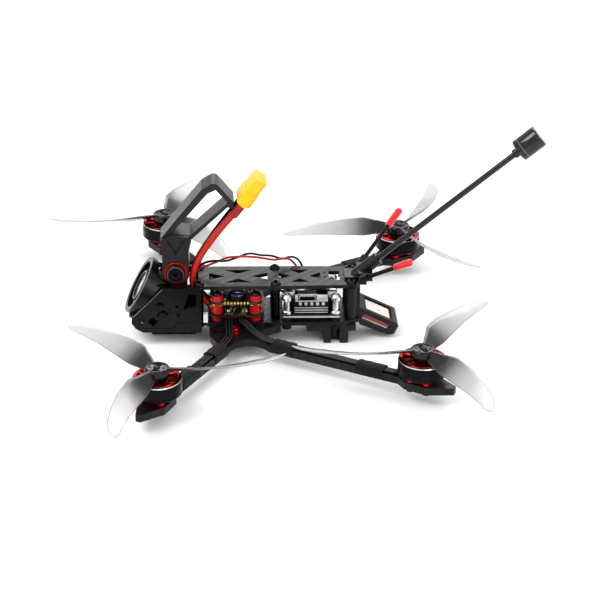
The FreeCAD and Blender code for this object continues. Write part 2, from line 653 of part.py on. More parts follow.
def make_nose():
    """Printed nose: ring and hood, floor with skid, roof and the cradle's lug."""
    hood = along_camera("hood_outer", "ring_outer - 0.5", "ring_ahead - 13", "ring_ahead")
    rim = along_camera("hood_rim", "ring_outer", "ring_ahead - 1.2", "ring_ahead + 1.6")
    bore = along_camera("hood_bore", "ring_inner", "ring_ahead - 6.2", "ring_ahead + 2")
    beside = []
    for side in (1, -1):
        behind = doc.addObject("Part::Box", f"hood_behind_{side}")
        behind.Length, behind.Width, behind.Height = 20, 40, 90
        x = "nose_half" if side == 1 else "-nose_half - 20"
        place(behind, x, -100.4, -5.7, (1, 0, 0), -42.0)
        beside.append(behind)
    neck_room = rod("hood_neck_room", "knuckle_radius + 1.9", "2 * prong_outer + 1.2",
                    "-prong_outer - 0.6", "pivot_y", PIVOT_Z, "x")
    hood_front = cut("hood_front", fuse("hood", hood, rim), neck_room, *beside)

    floor = block("nose_floor", ("-nose_half", "nose_half"),
                  ("nose_front_y", "nose_rear_y"), (6.3, ARM_TOP))
    prow_block = plate("prow_block", "YZ",
                       [("nose_front_y", 6.3), ("nose_front_y", ARM_TOP),
                        ("nose_front_y + 1.0", 13.4), (-77.8, 17.6), (-82.4, 14.6),
                        (-82.2, 11.6), (-79.4, 8.4)],
                       "-nose_half", "2 * nose_half")
    prow_limit = along_camera("prow_limit", "ring_outer + 2.2", "ring_ahead - 17",
                              "ring_ahead + 1.6")
    prow = common("nose_prow", prow_block, prow_limit)
    skid = plate("nose_skid", "YZ",
                 [(-70.5, 0), (-47.5, 0), (-45.5, 6.3), ("nose_front_y", 6.3)],
                 "-3.2", "6.4")
    roof = block("nose_roof", ("-nose_half", "nose_half"), (-66.0, -51.6),
                 (f"{ROOF} - 2.2", ROOF))
    lug = rod("nose_lug", "knuckle_radius - 0.4", "2 * lug_half", "-lug_half",
              "pivot_y", PIVOT_Z, "x")
    lug_base = block("nose_lug_base", ("-lug_half", "lug_half"),
                     ("pivot_y - 6.0", "pivot_y + 5.6"), (f"{ROOF} - 2.2", f"{PIVOT_Z} - 1"))
    bolt_hole = rod("lug_hole", "pivot_bolt_radius + running_gap", 40, -20,
                    "pivot_y", PIVOT_Z, "x")
    prong_room = []
    for side in (1, -1):
        low = "prong_inner - 0.15" if side == 1 else "-prong_outer - 0.6"
        prong_room.append(rod(f"prong_room_{side}", "knuckle_radius + 0.45",
                              "prong_outer - prong_inner + 0.75", low, "pivot_y", PIVOT_Z, "x"))
    whole = fuse("nose_whole", hood_front, floor, prow, skid, roof, lug, lug_base)
    camera_room = rod("camera_room", 11.7, 25, -12.5, "camera_y", "camera_z", "x")
    deck_room = block("nose_deck_room", (-20, 20), (-73.0, -40.0), (ARM_TOP, f"{DECK} + 0.1"))
    screw_room = [rod(f"front_post_room_{side}", 3.1, 6.0, f"{side} * post_wide_x",
                      "post_front_y", 5.0) for side in (1, -1)]
    node(cut("nose_housing", whole, bore, camera_room, deck_room, bolt_hole,
             *prong_room, *screw_room), "nose_housing")


def make_camera():
    """The flight camera on its cross pivot: body and bezel, then the glass."""
    body = doc.addObject("Part::Box", "camera_body")
    for prop, size in (("Length", "2 * camera_half"), ("Width", "11.4"),
                       ("Height", "2 * camera_half")):
        body.setExpression(prop, bound(size))
    corner_y = "camera_y - 7.2 * cos(camera_tilt) - camera_half * sin(camera_tilt)"
    corner_z = "camera_z + 7.2 * sin(camera_tilt) - camera_half * cos(camera_tilt)"
    place(body, "-camera_half", corner_y, corner_z, (1, 0, 0), "0 - camera_tilt")
    bezel = along_camera("camera_bezel", "bezel_radius", 7.2, "ring_ahead")
    barrel = along_camera("camera_barrel", "lens_radius + 1.2", 7.2, "ring_ahead + 1.2")
    seat = along_camera("camera_seat", "lens_radius + 0.05", "ring_ahead - 1", "ring_ahead + 2")
    whole = fuse("camera_whole", body, bezel, barrel)
    pivots = rod("camera_pivot_hole", "1.02", 40, -20, "camera_y", "camera_z", "x")
    slots = rod("camera_slot_hole", "0.97", 40, -20, *round_camera("slot_reach", -76), "x")
    node(cut("fpv_camera", whole, seat, pivots, slots), "fpv_camera")
    node(along_camera("camera_glass", "lens_radius", "ring_ahead - 0.9", "ring_ahead + 0.9"),
         "camera_glass")


def side_screw(name, y, z, radius, side):
    """A small screw through a side plate, four millimetres into the camera."""
    away = "x" if side == 1 else "-x"
    start = f"{side} * (camera_half - 4)"
    stem = rod(name + "_stem", radius, f"{SIDE_OUT} + 0.6 - camera_half + 4", start, y, z, away)
    head = rod(name + "_head", SMALL_HEAD_RADIUS, 1.2, f"{side} * ({SIDE_OUT} + 0.15)",
               y, z, away)
    return fuse(name, stem, head)


def make_camera_screws():
    pivots = [side_screw(f"camera_pivot_{s}", "camera_y", "camera_z", 1.0, s)
              for s in (1, -1)]
    node(group("camera_pivot_screws", *pivots), "camera_pivot_screws")
    slots = [side_screw(f"camera_slot_{s}", *round_camera("slot_reach", -76), 0.95, s)
             for s in (1, -1)]
    node(group("camera_slot_screws", *slots), "camera_slot_screws")


# ----------------------------------------------------------------------- cradle
def from_pivot(offsets):
    """Points given as distances behind and above the cradle's pivot."""
    return [(f"pivot_y + {y}", f"{PIVOT_Z} + {z}") for y, z in offsets]


def make_cradle():
    """Open loop for an action camera, on a forked neck round the nose's lug."""
    outer = from_pivot([(-7.8, 18.4), (0.0, 28.8), (13.8, 46.3), (18.9, 49.6), (20.8, 49.8),
             (22.6, 48.4), (30.3, 39.1), (30.4, 36.8), (29.2, 35.4), (27.2, 36.5),
             (8.4, 18.4)])
    inner = from_pivot([(-2.0, 21.8), (5.2, 30.2), (16.8, 44.0), (21.0, 46.1), (26.7, 39.6),
             (26.4, 38.1), (7.8, 20.6)])
    loop = plate("cradle_loop", "YZ", outer, "-cradle_half", "2 * cradle_half", [inner])
    neck_outline = [("pivot_y - knuckle_radius + 0.05", f"{PIVOT_Z} + 1"),
                    ("pivot_y + knuckle_radius - 0.05", f"{PIVOT_Z} + 1"),
                    *from_pivot([(6.8, 12.2), (8.4, 18.6), (7.2, 20.4), (-2.0, 21.4), (-7.8, 18.6),
                    (-6.8, 11.2)])]
    neck = plate("cradle_neck", "YZ", neck_outline, "-prong_outer", "2 * prong_outer")
    knuckle = rod("cradle_knuckle", "knuckle_radius", "2 * prong_outer", "-prong_outer",
                  "pivot_y", PIVOT_Z, "x")
    room = rod("cradle_lug_room", "knuckle_radius + 0.5", "2 * prong_inner", "-prong_inner",
               "pivot_y", PIVOT_Z, "x")
    hole = rod("cradle_hole", "pivot_bolt_radius + 0.05", 40, -20, "pivot_y", PIVOT_Z, "x")
    facets = []
    for side in (1, -1):
        low = "prong_outer - 1.1" if side == 1 else "-prong_outer - 1"
        facet = plate(f"neck_facet_{side}", "YZ",
                      from_pivot([(-4.6, 18.6), (0.2, 10.2), (5.2, 18.6)]), low, 2.1)
        facets.append(facet)
    node(cut("cradle", fuse("cradle_whole", loop, neck, knuckle), room, hole, *facets), "cradle")

    rings, ring_side = [], {1: "prong_outer", -1: "-prong_outer - 0.8"}
    for side, low in ring_side.items():
        disc = rod(f"pivot_disc_{side}", 6.15, 0.8, low, "pivot_y", PIVOT_Z, "x")
        hole = rod(f"pivot_disc_hole_{side}", "pivot_bolt_radius + 0.05", 0.8, low,
                   "pivot_y", PIVOT_Z, "x")
        rings.append(cut(f"pivot_ring_{side}", disc, hole))
    node(group("pivot_rings", *rings), "pivot_rings")
    head = rod("pivot_head", 5.1, 2.0, "prong_outer + 0.8", "pivot_y", PIVOT_Z, "x")
    stem = rod("pivot_stem", "pivot_bolt_radius", "2 * prong_outer + 4.6", "-prong_outer - 3.8",
               "pivot_y", PIVOT_Z, "x")
    socket = rod("pivot_socket", 1.3, 1.4, "prong_outer + 1.4", "pivot_y", PIVOT_Z, "x")
    node(cut("pivot_bolt", fuse("pivot_bolt_whole", head, stem), socket), "pivot_bolt")
    nut_body = doc.addObject("Part::Prism", "pivot_nut_body")
    nut_body.Polygon = 6
    nut_body.Circumradius = 4.6
    nut_body.Height = 2.6
    place(nut_body, "-prong_outer - 0.8", "pivot_y", PIVOT_Z, (0, 1, 0), -90)
    nut_hole = rod("pivot_nut_hole", "pivot_bolt_radius + 0.05", 4, "-prong_outer - 4.4",
                   "pivot_y", PIVOT_Z, "x")
    node(cut("pivot_nut", nut_body, nut_hole), "pivot_nut")


# ------------------------------------------------------------------ electronics
def board(name, half, centre_y, bottom, holes, hole_radius):
    """A square circuit board with clipped corners and its mounting holes."""
    clip = 3.0
    outline = both_sides([
        (f"{half} - {clip}", f"{centre_y} - {half}"), (half, f"{centre_y} - {half} + {clip}"),
        (half, f"{centre_y} + {half} - {clip}"), (f"{half} - {clip}", f"{centre_y} + {half}")])
    return plate(name, "XY", outline, bottom, "board_thick", (),
                 [(x, y, hole_radius) for x, y in holes])


def make_stack():
    """Speed controller and flight controller on four soft pillars."""
    esc = board("esc_plain", "esc_half", "stack_y", ESC_UNDER, STACK_HOLES, M3_HOLE)
    chips = []
    for i, (x, y) in enumerate(((-6.6, -34.8), (-6.6, -21.6), (2.2, -34.8), (2.2, -21.6))):
        chips.append(block(f"esc_chip_{i}", (x, x + 4.4), (y, y + 4.0),
                           (f"{ESC_UNDER} + board_thick", f"{ESC_UNDER} + board_thick + 1.1")))
    for x in (LEAD_ROUTE[0][0], BLACK_ROUTE[0][0]):
        chips.append(block(f"esc_pad_{x:.0f}", (x - 2.0, x + 2.0), (-40.4, -37.6),
                           (f"{ESC_UNDER} + board_thick", f"{ESC_UNDER} + board_thick + 2.2")))
    node(fuse("esc", esc, *chips), "esc_board")
    fc = board("fc_plain", "fc_half", "stack_y", FC_UNDER, STACK_HOLES, M3_HOLE)
    processor = block("fc_processor", (-5.5, 0.5), (-30.0, -24.0),
                      (f"{FC_UNDER} + board_thick", f"{FC_UNDER} + board_thick + 1.2"))
    plug = block("fc_plug", (-6.0, -0.8), (-38.4, -35.0),
                 (f"{FC_UNDER} + board_thick", f"{FC_UNDER} + board_thick + 2.8"))
    node(fuse("fc", fc, processor, plug), "fc_board")
    node(rod("beeper", 4.8, 3.8, 7.2, "stack_y + 0.4", f"{FC_UNDER} + board_thick"), "beeper")

    pillars = []
    levels = ((DECK, "stack_lift"), (f"({ESC_UNDER} + board_thick)", "pillar_low"),
              (f"({FC_UNDER} + board_thick)", "pillar_high"))
    for i, (x, y) in enumerate(STACK_HOLES):
        for j, (low, height) in enumerate(levels):
            outer = rod(f"pillar_{i}_{j}", "pillar_radius", height, x, y, low)
            bore = rod(f"pillar_bore_{i}_{j}", M3_HOLE - 0.05, height, x, y, low)
            pillars.append(cut(f"pillar_cut_{i}_{j}", outer, bore))
    node(group("soft_pillars", *pillars), "soft_pillars")
    top = f"({FC_UNDER} + board_thick + pillar_high)"
    reach = f"{top} - {ARM_BOTTOM}"
    node(screws("stack_screws", STACK_HOLES, top, reach), "stack_screws")
    node(block("esc_plug", (11.0, 14.2), (-43.4, -41.1), (DECK, f"{DECK} + 4.6")), "esc_plug")


def make_video_unit():
    """Silver digital-video transmitter on four posts, with its data socket."""
    low, high = VIDEO_UNDER, f"({VIDEO_UNDER} + video_height)"
    limits = ("video_y - video_half", "video_y + video_half")
    base = block("video_base", ("-video_half", "video_half"), limits,
                 (low, f"{low} + 2.2"))
    core = block("video_core", ("-video_half + 4.6", "video_half - 4.6"),
                 ("video_y - video_half + 1.2", "video_y + video_half - 1.2"),
                 (f"{low} + 2.2", high))
    sides = block("video_sides", ("-video_half + 0.8", "video_half - 0.8"),
                  ("video_y - 8.6", "video_y + 8.6"), (f"{low} + 5.0", f"{high} - 0.6"))
    lid = block("video_lid", ("-video_half + 0.4", "video_half - 0.4"),
                ("video_y - 8.0", "video_y + 8.0"), (f"{high} - 4.4", high))
    socket = block("video_socket", ("video_half - 5.5", "video_half + 1"),
                   ("video_y - 6.7", "video_y + 2.3"), (f"{high} - 3.3", f"{high} - 0.7"))
    pair_plug = block("video_pair_plug", (-14.0, -12.2), (5.4, 11.0),
                      (f"{high} - 1", f"{high} + 1.7"))
    post_room = [rod(f"video_room_{i}", 2.95, "video_height - 1.5", x, y, f"{low} + 2.2")
                 for i, (x, y) in enumerate(VIDEO_HOLES)]
    holes = [rod(f"video_hole_{i}", M2_HOLE, 4, x, y, f"{low} - 1")
             for i, (x, y) in enumerate(VIDEO_HOLES)]
    whole = fuse("video_whole", base, core, sides, lid, pair_plug)
    node(cut("video_unit", whole, socket, *post_room, *holes), "video_unit")
    posts = []
    for i, (x, y) in enumerate(VIDEO_HOLES):
        for j, (bottom, height, radius) in enumerate((
                (DECK, "video_lift", 2.4), (f"({low} + 2.2)", "video_height - 2.8", 2.7))):
            outer = rod(f"video_post_{i}_{j}", radius, height, x, y, bottom)
            bore = rod(f"video_post_bore_{i}_{j}", M2_HOLE - 0.05, height, x, y, bottom)
            posts.append(cut(f"video_post_cut_{i}_{j}", outer, bore))
    node(group("video_posts", *posts), "video_posts")
    node(screws("video_screws", VIDEO_HOLES, ARM_TOP, "deck_thick + video_lift + 6", True,
                head=(2.5, 2.0), shank=1.0), "video_screws")


# ------------------------------------------------------------------------- tail
STICK_ROOT = (9.0, 39.6, 34.8)
STICK_RUN = (23.7, 23.0, 21.3)


def stick_rod(radius, start, end, side):
    """A cylinder along a receiver aerial, between two shares of its length."""
    run = V(STICK_RUN[0] * side, STICK_RUN[1], STICK_RUN[2])
    root = V(STICK_ROOT[0] * side, STICK_ROOT[1], STICK_ROOT[2])
    base = root + run * start
    return Part.makeCylinder(radius, run.Length * (end - start), base, run)


def make_aerials():
    """Aerial holder on the roof's tail, two receiver aerials, and the long mast."""
    base = block("holder_base", (-7.0, 7.0), ("post_rear_y + 3.6", "post_rear_y + 11.0"),
                 (f"{ROOF}", f"{ROOF} + 4.4"))
    tongue = block("holder_tongue", (-5.4, 5.4), ("post_rear_y - 3.5", "post_rear_y + 4"),
                   (ROOF, f"{ROOF} + 1.6"))
    wings = block("holder_wings", (-11.0, 11.0), ("post_rear_y + 3.6", "post_rear_y + 7.6"),
                  (ROOF, f"{ROOF} + 3.0"))
    root = ("0", "post_rear_y + 2.4", f"{ROOF} + 0.1")
    sleeve = tilted_rod("mast_sleeve", "rod_radius + 1.9", 15.5, *root, "rod_rise")
    mast = tilted_rod("mast", "rod_radius", "rod_length + 4.0", "0",
                      "post_rear_y + 2.4 + 5 * cos(rod_rise)",
                      f"{ROOF} + 0.1 + 5 * sin(rod_rise)", "rod_rise")
    mast_bore = tilted_rod("mast_bore", "rod_radius + 0.02", 40, "0",
                           "post_rear_y + 2.4 + 5 * cos(rod_rise)",
                           f"{ROOF} + 0.1 + 5 * sin(rod_rise)", "rod_rise")
    sleeves = [feature(f"stick_sleeve_{s}", stick_rod(2.1, 0.0, 0.13, s)) for s in (1, -1)]
    bores = [feature(f"stick_bore_{s}", stick_rod(num("stick_radius") + 0.02, 0.0, 0.5, s))
             for s in (1, -1)]
    whole = fuse("holder_whole", base, tongue, wings, sleeve, *sleeves, refine=False)
    below = block("holder_below", (-14, 14), (20, 60), (20, ROOF))
    node(cut("aerial_holder", whole, mast_bore, *bores, below), "aerial_holder")
    node(mast, "mast")
    start = "5 + rod_length"
    collar = tilted_rod("mast_collar", "rod_radius + 0.9", 3.0, "0",
                        f"post_rear_y + 2.4 + ({start} - 3.4) * cos(rod_rise)",
                        f"{ROOF} + 0.1 + ({start} - 3.4) * sin(rod_rise)", "rod_rise")
    head = tilted_rod("mast_head_body", "head_radius", "head_length", "0",
                      f"post_rear_y + 2.4 + ({start} - 0.4) * cos(rod_rise)",
                      f"{ROOF} + 0.1 + ({start} - 0.4) * sin(rod_rise)", "rod_rise")
    hollow = tilted_rod("mast_head_hole", "rod_radius + 0.02", 3.4 + 4.0, "0",
                        f"post_rear_y + 2.4 + ({start} - 3.4) * cos(rod_rise)",
                        f"{ROOF} + 0.1 + ({start} - 3.4) * sin(rod_rise)", "rod_rise")
    node(cut("mast_head", fuse("mast_head_whole", collar, head), hollow), "mast_head")
    sticks = [feature(f"stick_{s}", stick_rod(num("stick_radius"), 0.02, 0.78, s))
              for s in (1, -1)]
    node(group("receiver_aerials", *sticks), "receiver_aerials")
    caps = []
    for side in (1, -1):
        outer = feature(f"cap_outer_{side}", stick_rod(num("cap_radius"), 0.68, 1.0, side))
        bore = feature(f"cap_bore_{side}",
                       stick_rod(num("stick_radius") + 0.02, 0.68, 0.79, side))
        caps.append(cut(f"aerial_cap_{side}", outer, bore))
    node(group("aerial_caps", *caps), "aerial_caps")


def gps_box(name, x, along, depth):
    """A box in the locator's tilted frame, from its top front edge backwards and down."""
    obj = doc.addObject("Part::Box", name)
    for prop, (low, high) in zip(("Length", "Width", "Height"), (x, along, depth)):
        obj.setExpression(prop, bound(f"({high}) - ({low})"))
    y = f"37.4 + ({along[0]}) * cos(gps_tilt) + ({depth[0]}) * sin(gps_tilt)"
    z = f"18.9 - ({along[0]}) * sin(gps_tilt) + ({depth[0]}) * cos(gps_tilt)"
    return place(obj, x[0], y, z, (1, 0, 0), "0 - gps_tilt")


def gps_point(along, depth):
    """A point of the locator's tilted frame, as a pair of bound coordinates."""
    y = f"37.4 + ({along}) * cos(gps_tilt) + ({depth}) * sin(gps_tilt)"
    z = f"18.9 - ({along}) * sin(gps_tilt) + ({depth}) * cos(gps_tilt)"
    return (y, z)


def make_gps():
    """Printed satellite-locator holder behind the rear posts, and the locator in it."""
    outline = [("roof_rear_y - 1.8", 18.9), ("roof_rear_y - 1.8", f"{DECK} + 0.1"),
               ("roof_rear_y + 0.1", f"{DECK} + 0.1"), ("roof_rear_y + 0.1", 8.2),
               gps_point("gps_length - 1.2", "-gps_height"),
               gps_point("gps_length + 1.2", "-gps_height + 1.6"),
               gps_point("gps_length + 1.2", "-1.2"), gps_point("gps_length", 0),
               gps_point(0, 0)]
    shell = plate("gps_shell", "YZ", outline, "-gps_half", "2 * gps_half")
    cavity = gps_box("gps_cavity", ("-gps_half + 1.3", "gps_half - 1.3"),
                     (4.4, "gps_length - 1.6"), ("-gps_height + 1.3", -1.2))
    top_window = gps_box("gps_top_window", ("-gps_half + 2.4", "gps_half - 2.4"),
                         (5.4, "gps_length - 2.8"), (-2, 1))
    side_window = gps_box("gps_side_window", ("-gps_half - 1", "gps_half + 1"),
                          (5.4, "gps_length - 2.6"), ("-gps_height + 2.0", "-gps_height + 5.6"))
    stand = block("gps_stand", ("-post_rear_x - 1.5", "post_rear_x + 1.5"),
                  ("post_rear_y + post_radius + 0.3", "roof_rear_y"),
                  (f"{DECK} + 0.1", f"{DECK} + 17.8"))
    collars, bores = [], []
    for side in (1, -1):
        x = f"{side} * post_rear_x"
        collars.append(rod(f"gps_collar_{side}", "post_radius + 1.1", "bay_height - 0.2",
                           x, "post_rear_y", f"{DECK} + 0.1"))
        bores.append(rod(f"gps_collar_bore_{side}", "post_radius + 0.05", "bay_height",
                         x, "post_rear_y", DECK))
    whole = fuse("gps_whole", shell, stand, *collars)
    node(cut("gps_holder", whole, cavity, top_window, side_window, *bores), "gps_holder")
    can = gps_box("gps_can", ("-gps_half + 1.4", "gps_half - 1.4"), (4.6, "gps_length - 1.8"),
                  ("-gps_height + 1.4", "-gps_height + 4.8"))
    patch = gps_box("gps_patch", ("-gps_half + 2.5", "gps_half - 2.5"),
                    (5.6, "gps_length - 3.0"), ("-gps_height + 4.8", -0.9))
    node(fuse("gps_module", can, patch), "gps_module")


def make_tail_foot():
    """Printed foot under the tail, which the drone stands on."""
    half = "tail_foot_half"
    slab = block("foot_slab", (f"-{half}", half), ("tail_foot_front_y", "tail_foot_rear_y"),
                 (7.0, ARM_TOP))
    box = block("foot_box", (f"-{half}", half), (19.8, 32.6), (0, 7.0))
    rooms = []
    for i, (x, y) in enumerate(VIDEO_HOLES):
        rooms.append(rod(f"foot_room_{i}", 2.7, 12, x, y, -1))
    for i, side in enumerate((1, -1)):
        rooms.append(rod(f"foot_post_room_{i}", 2.95, f"{ARM_TOP} - 1.8 + 1", f"{side} * post_rear_x",
                         "post_rear_y", -1))
        rooms.append(rod(f"foot_post_hole_{i}", M3_HOLE, 12, f"{side} * post_rear_x",
                         "post_rear_y", 1))
    node(cut("tail_foot", fuse("tail_foot_whole", slab, box), *rooms), "tail_foot")


# ------------------------------------------------------------------------ cords
LEAD_ROUTE = [(5.0, -39.2, 18.0), (5.0, -44.0, 22.6), (5.1, -49.0, 29.6), (5.2, -48.9, 37.8),
              (5.6, -44.9, 47.2), (6.2, -39.0, 56.6), (7.0, -32.5, 65.6), (7.5, -27.4, 71.9),
              (7.9, -22.6, 77.9)]
BLACK_ROUTE = [(0.9, -39.2, 18.0), (0.9, -44.0, 22.6), (0.8, -48.8, 29.6), (0.5, -48.4, 37.8),
               (0.3, -44.2, 47.0), (0.2, -38.4, 56.2), (0.3, -32.1, 65.4), (0.6, -27.4, 71.9),
               (0.7, -22.6, 77.9)]
CONNECTOR_BASE = V(4.3, -22.6, 77.9)
CONNECTOR_RUN = V(0, 0.587, 0.810)


def make_leads():
    """The battery's two silicone leads and their connector."""
    radius = num("lead_radius")
    node(feature("lead_red", tube("lead_red", radius, LEAD_ROUTE)), "lead_red")
    node(feature("lead_black", tube("lead_black", radius, BLACK_ROUTE)), "lead_black")
    half_thick, half_wide, length, grip = 4.05, 7.9, 16.2, 5.0
    along = V(CONNECTOR_RUN).normalize()
    across = V(1, 0, 0)
    up = along.cross(across)
    corners = []
    for x, u in ((-1, -1), (1, -1), (1, 0.35), (0.62, 1), (-1, 1)):
        corners.append(CONNECTOR_BASE + across * (x * half_wide) + up * (u * half_thick))
    face = Part.Face(Part.makePolygon(corners + corners[:1]))
    body = face.extrude(along * length)
    for side in (1, -1):
        seat = CONNECTOR_BASE + across * (side * 3.6) + along * (length - 8.0)
        body = body.cut(Part.makeCylinder(2.3, 9.0, seat, along))
    node(feature("battery_connector", body), "battery_connector")


def over_roof(points):
    """Cord points whose heights are given above the roof plate."""
    return [(x, y, round(num(ROOF) + rise, 3)) for x, y, rise in points]


RED_PAIR_ROUTE = [(-2.4, -38.4, 25.4), (-2.4, -43.2, 25.4), (-2.3, -48.0, 28.3),
                  *over_roof([(-2.0, -48.2, 1.4), (-1.6, -43.2, 4.7), (-3.2, -37.2, 6.5),
                              (-3.3, -30.8, 9.5), (-1.6, -24.6, 10.7), (-3.4, -18.4, 9.7),
                              (-6.0, -12.4, 7.7), (-7.6, -6.2, 5.5), (-10.8, -0.8, 5.1),
                              (-13.3, 4.0, 3.1)]), (-13.2, 6.8, 30.4)]
BLACK_PAIR_ROUTE = [(-4.6, -38.4, 25.4), (-4.6, -43.0, 25.4), (-4.6, -47.7, 28.0),
                    *over_roof([(-4.6, -48.5, 1.1), (-4.2, -44.2, 5.5), (-1.4, -38.0, 8.7),
                                (-1.3, -31.6, 7.9), (-3.9, -25.4, 9.1), (-5.4, -19.2, 11.1),
                                (-4.4, -12.8, 9.9), (-9.4, -7.0, 7.5), (-12.4, -1.8, 3.7),
                                (-14.4, 3.6, 4.7), (-13.6, 8.2, 2.5)]), (-13.2, 9.6, 30.4)]


def make_pair():
    """A thin twisted pair from the stack over the roof to the video unit."""
    radius = num("pair_radius")
    node(feature("pair_red", tube("pair_red", radius, RED_PAIR_ROUTE)), "pair_red")
    node(feature("pair_black", tube("pair_black", radius, BLACK_PAIR_ROUTE)), "pair_black")


# -------------------------------------------------------------------- build all
make_arms()
make_deck()
make_roof()
make_posts()
make_arm_bolts()
make_motor_bases()
make_rotors()
make_wires()
make_wraps()
make_side_plates()
make_nose()
make_camera()
make_camera_screws()
make_cradle()
make_stack()
make_video_unit()
make_aerials()
make_gps()
make_tail_foot()
make_leads()
make_pair()
doc.recompute()

for obj in doc.Objects:
    if "Invalid" in obj.State or "Error" in obj.State:
        raise RuntimeError(f"{obj.Name} ({obj.Label}): {obj.State}")
for obj in NODES:
    if obj.Shape.isNull() or not obj.Shape.isValid() or not obj.Shape.Solids:
        raise RuntimeError(f"{obj.Label}: bad shape")

os.makedirs("parts", exist_ok=True)
for obj in NODES:
    obj.Shape.exportStep(f"parts/{obj.Label}.step")
print(f"{len(NODES)} nodes written")
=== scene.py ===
import math
import random

import bpy
import bmesh
from mathutils import Matrix, Quaternion, Vector


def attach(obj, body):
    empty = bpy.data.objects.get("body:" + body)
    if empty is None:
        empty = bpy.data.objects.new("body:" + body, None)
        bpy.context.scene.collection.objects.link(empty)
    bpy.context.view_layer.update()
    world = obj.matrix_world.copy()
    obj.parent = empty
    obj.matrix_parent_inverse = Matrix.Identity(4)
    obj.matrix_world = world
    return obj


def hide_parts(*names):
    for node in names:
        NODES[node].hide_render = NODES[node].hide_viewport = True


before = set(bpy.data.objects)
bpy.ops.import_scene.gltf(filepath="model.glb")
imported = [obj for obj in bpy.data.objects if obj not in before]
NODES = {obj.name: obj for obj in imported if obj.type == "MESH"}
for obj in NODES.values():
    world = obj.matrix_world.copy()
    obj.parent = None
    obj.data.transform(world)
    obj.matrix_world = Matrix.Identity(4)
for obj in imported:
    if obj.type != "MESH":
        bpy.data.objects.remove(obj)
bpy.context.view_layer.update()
MM = 0.001
HUBS = {"front_left": (90.0, -65.7), "front_right": (-90.0, -65.7),
        "rear_left": (73.0, 65.7), "rear_right": (-73.0, 65.7)}
SPINS = {"front_left": -1, "front_right": 1, "rear_left": 1, "rear_right": -1}
TIPS = {"front_left": 104.7, "front_right": 152.0, "rear_left": 143.4, "rear_right": 158.2}
ROOTS = {"front": (31.0, -30.0), "rear": (36.0, -3.0)}
rng = random.Random(7)


# ------------------------------------------------------------ camera and stage
def make_camera():
    data = bpy.data.cameras.new("camera")
    data.sensor_width = 36.0
    data.lens = 118.4
    data.clip_start, data.clip_end = 0.05, 20.0
    obj = bpy.data.objects.new("camera", data)
    bpy.context.scene.collection.objects.link(obj)
    eye = Vector((0.9293, -0.0363, 0.4940))
    aim = Vector((0.0, 0.00767, 0.01815))
    turn = (aim - eye).to_track_quat("-Z", "Y") @ Quaternion((0, 0, 1), math.radians(0.8))
    obj.location = eye
    obj.rotation_mode = "QUATERNION"
    obj.rotation_quaternion = turn
    bpy.context.scene.camera = obj


def area_light(name, place, aim, size, power, colour=(1, 1, 1)):
    data = bpy.data.lights.new(name, "AREA")
    data.shape = "RECTANGLE"
    data.size, data.size_y = size
    data.energy = power
    data.color = colour
    obj = bpy.data.objects.new(name, data)
    obj.location = place
    obj.rotation_euler = (Vector(aim) - Vector(place)).to_track_quat("-Z", "Y").to_euler()
    bpy.context.scene.collection.objects.link(obj)


def make_stage():
    world = bpy.data.worlds.new("studio")
    world.use_nodes = True
    background = world.node_tree.nodes["Background"]
    background.inputs["Color"].default_value = (1, 1, 1, 1)
    background.inputs["Strength"].default_value = 0.9
    bpy.context.scene.world = world
    bpy.context.scene.view_settings.view_transform = "Standard"
    bpy.context.scene.view_settings.look = "Medium High Contrast"
    area_light("key", (0.5, -0.9, 1.5), (0, 0, 0.02), (0.9, 0.7), 11)
    area_light("fill", (1.4, 0.7, 0.9), (0, 0, 0.02), (0.9, 0.9), 5)
    area_light("rim", (-1.1, 0.2, 0.9), (0, 0, 0.03), (1.2, 0.5), 7)
    mesh = bpy.data.meshes.new("floor")
    mesh.from_pydata([(-9, -9, 0), (9, -9, 0), (9, 9, 0), (-9, 9, 0)], [], [(0, 1, 2, 3)])
    floor = bpy.data.objects.new("floor", mesh)
    floor.location = (0, 0, -0.0003)
    bpy.context.scene.collection.objects.link(floor)
    mesh.materials.append(MAT["floor"])


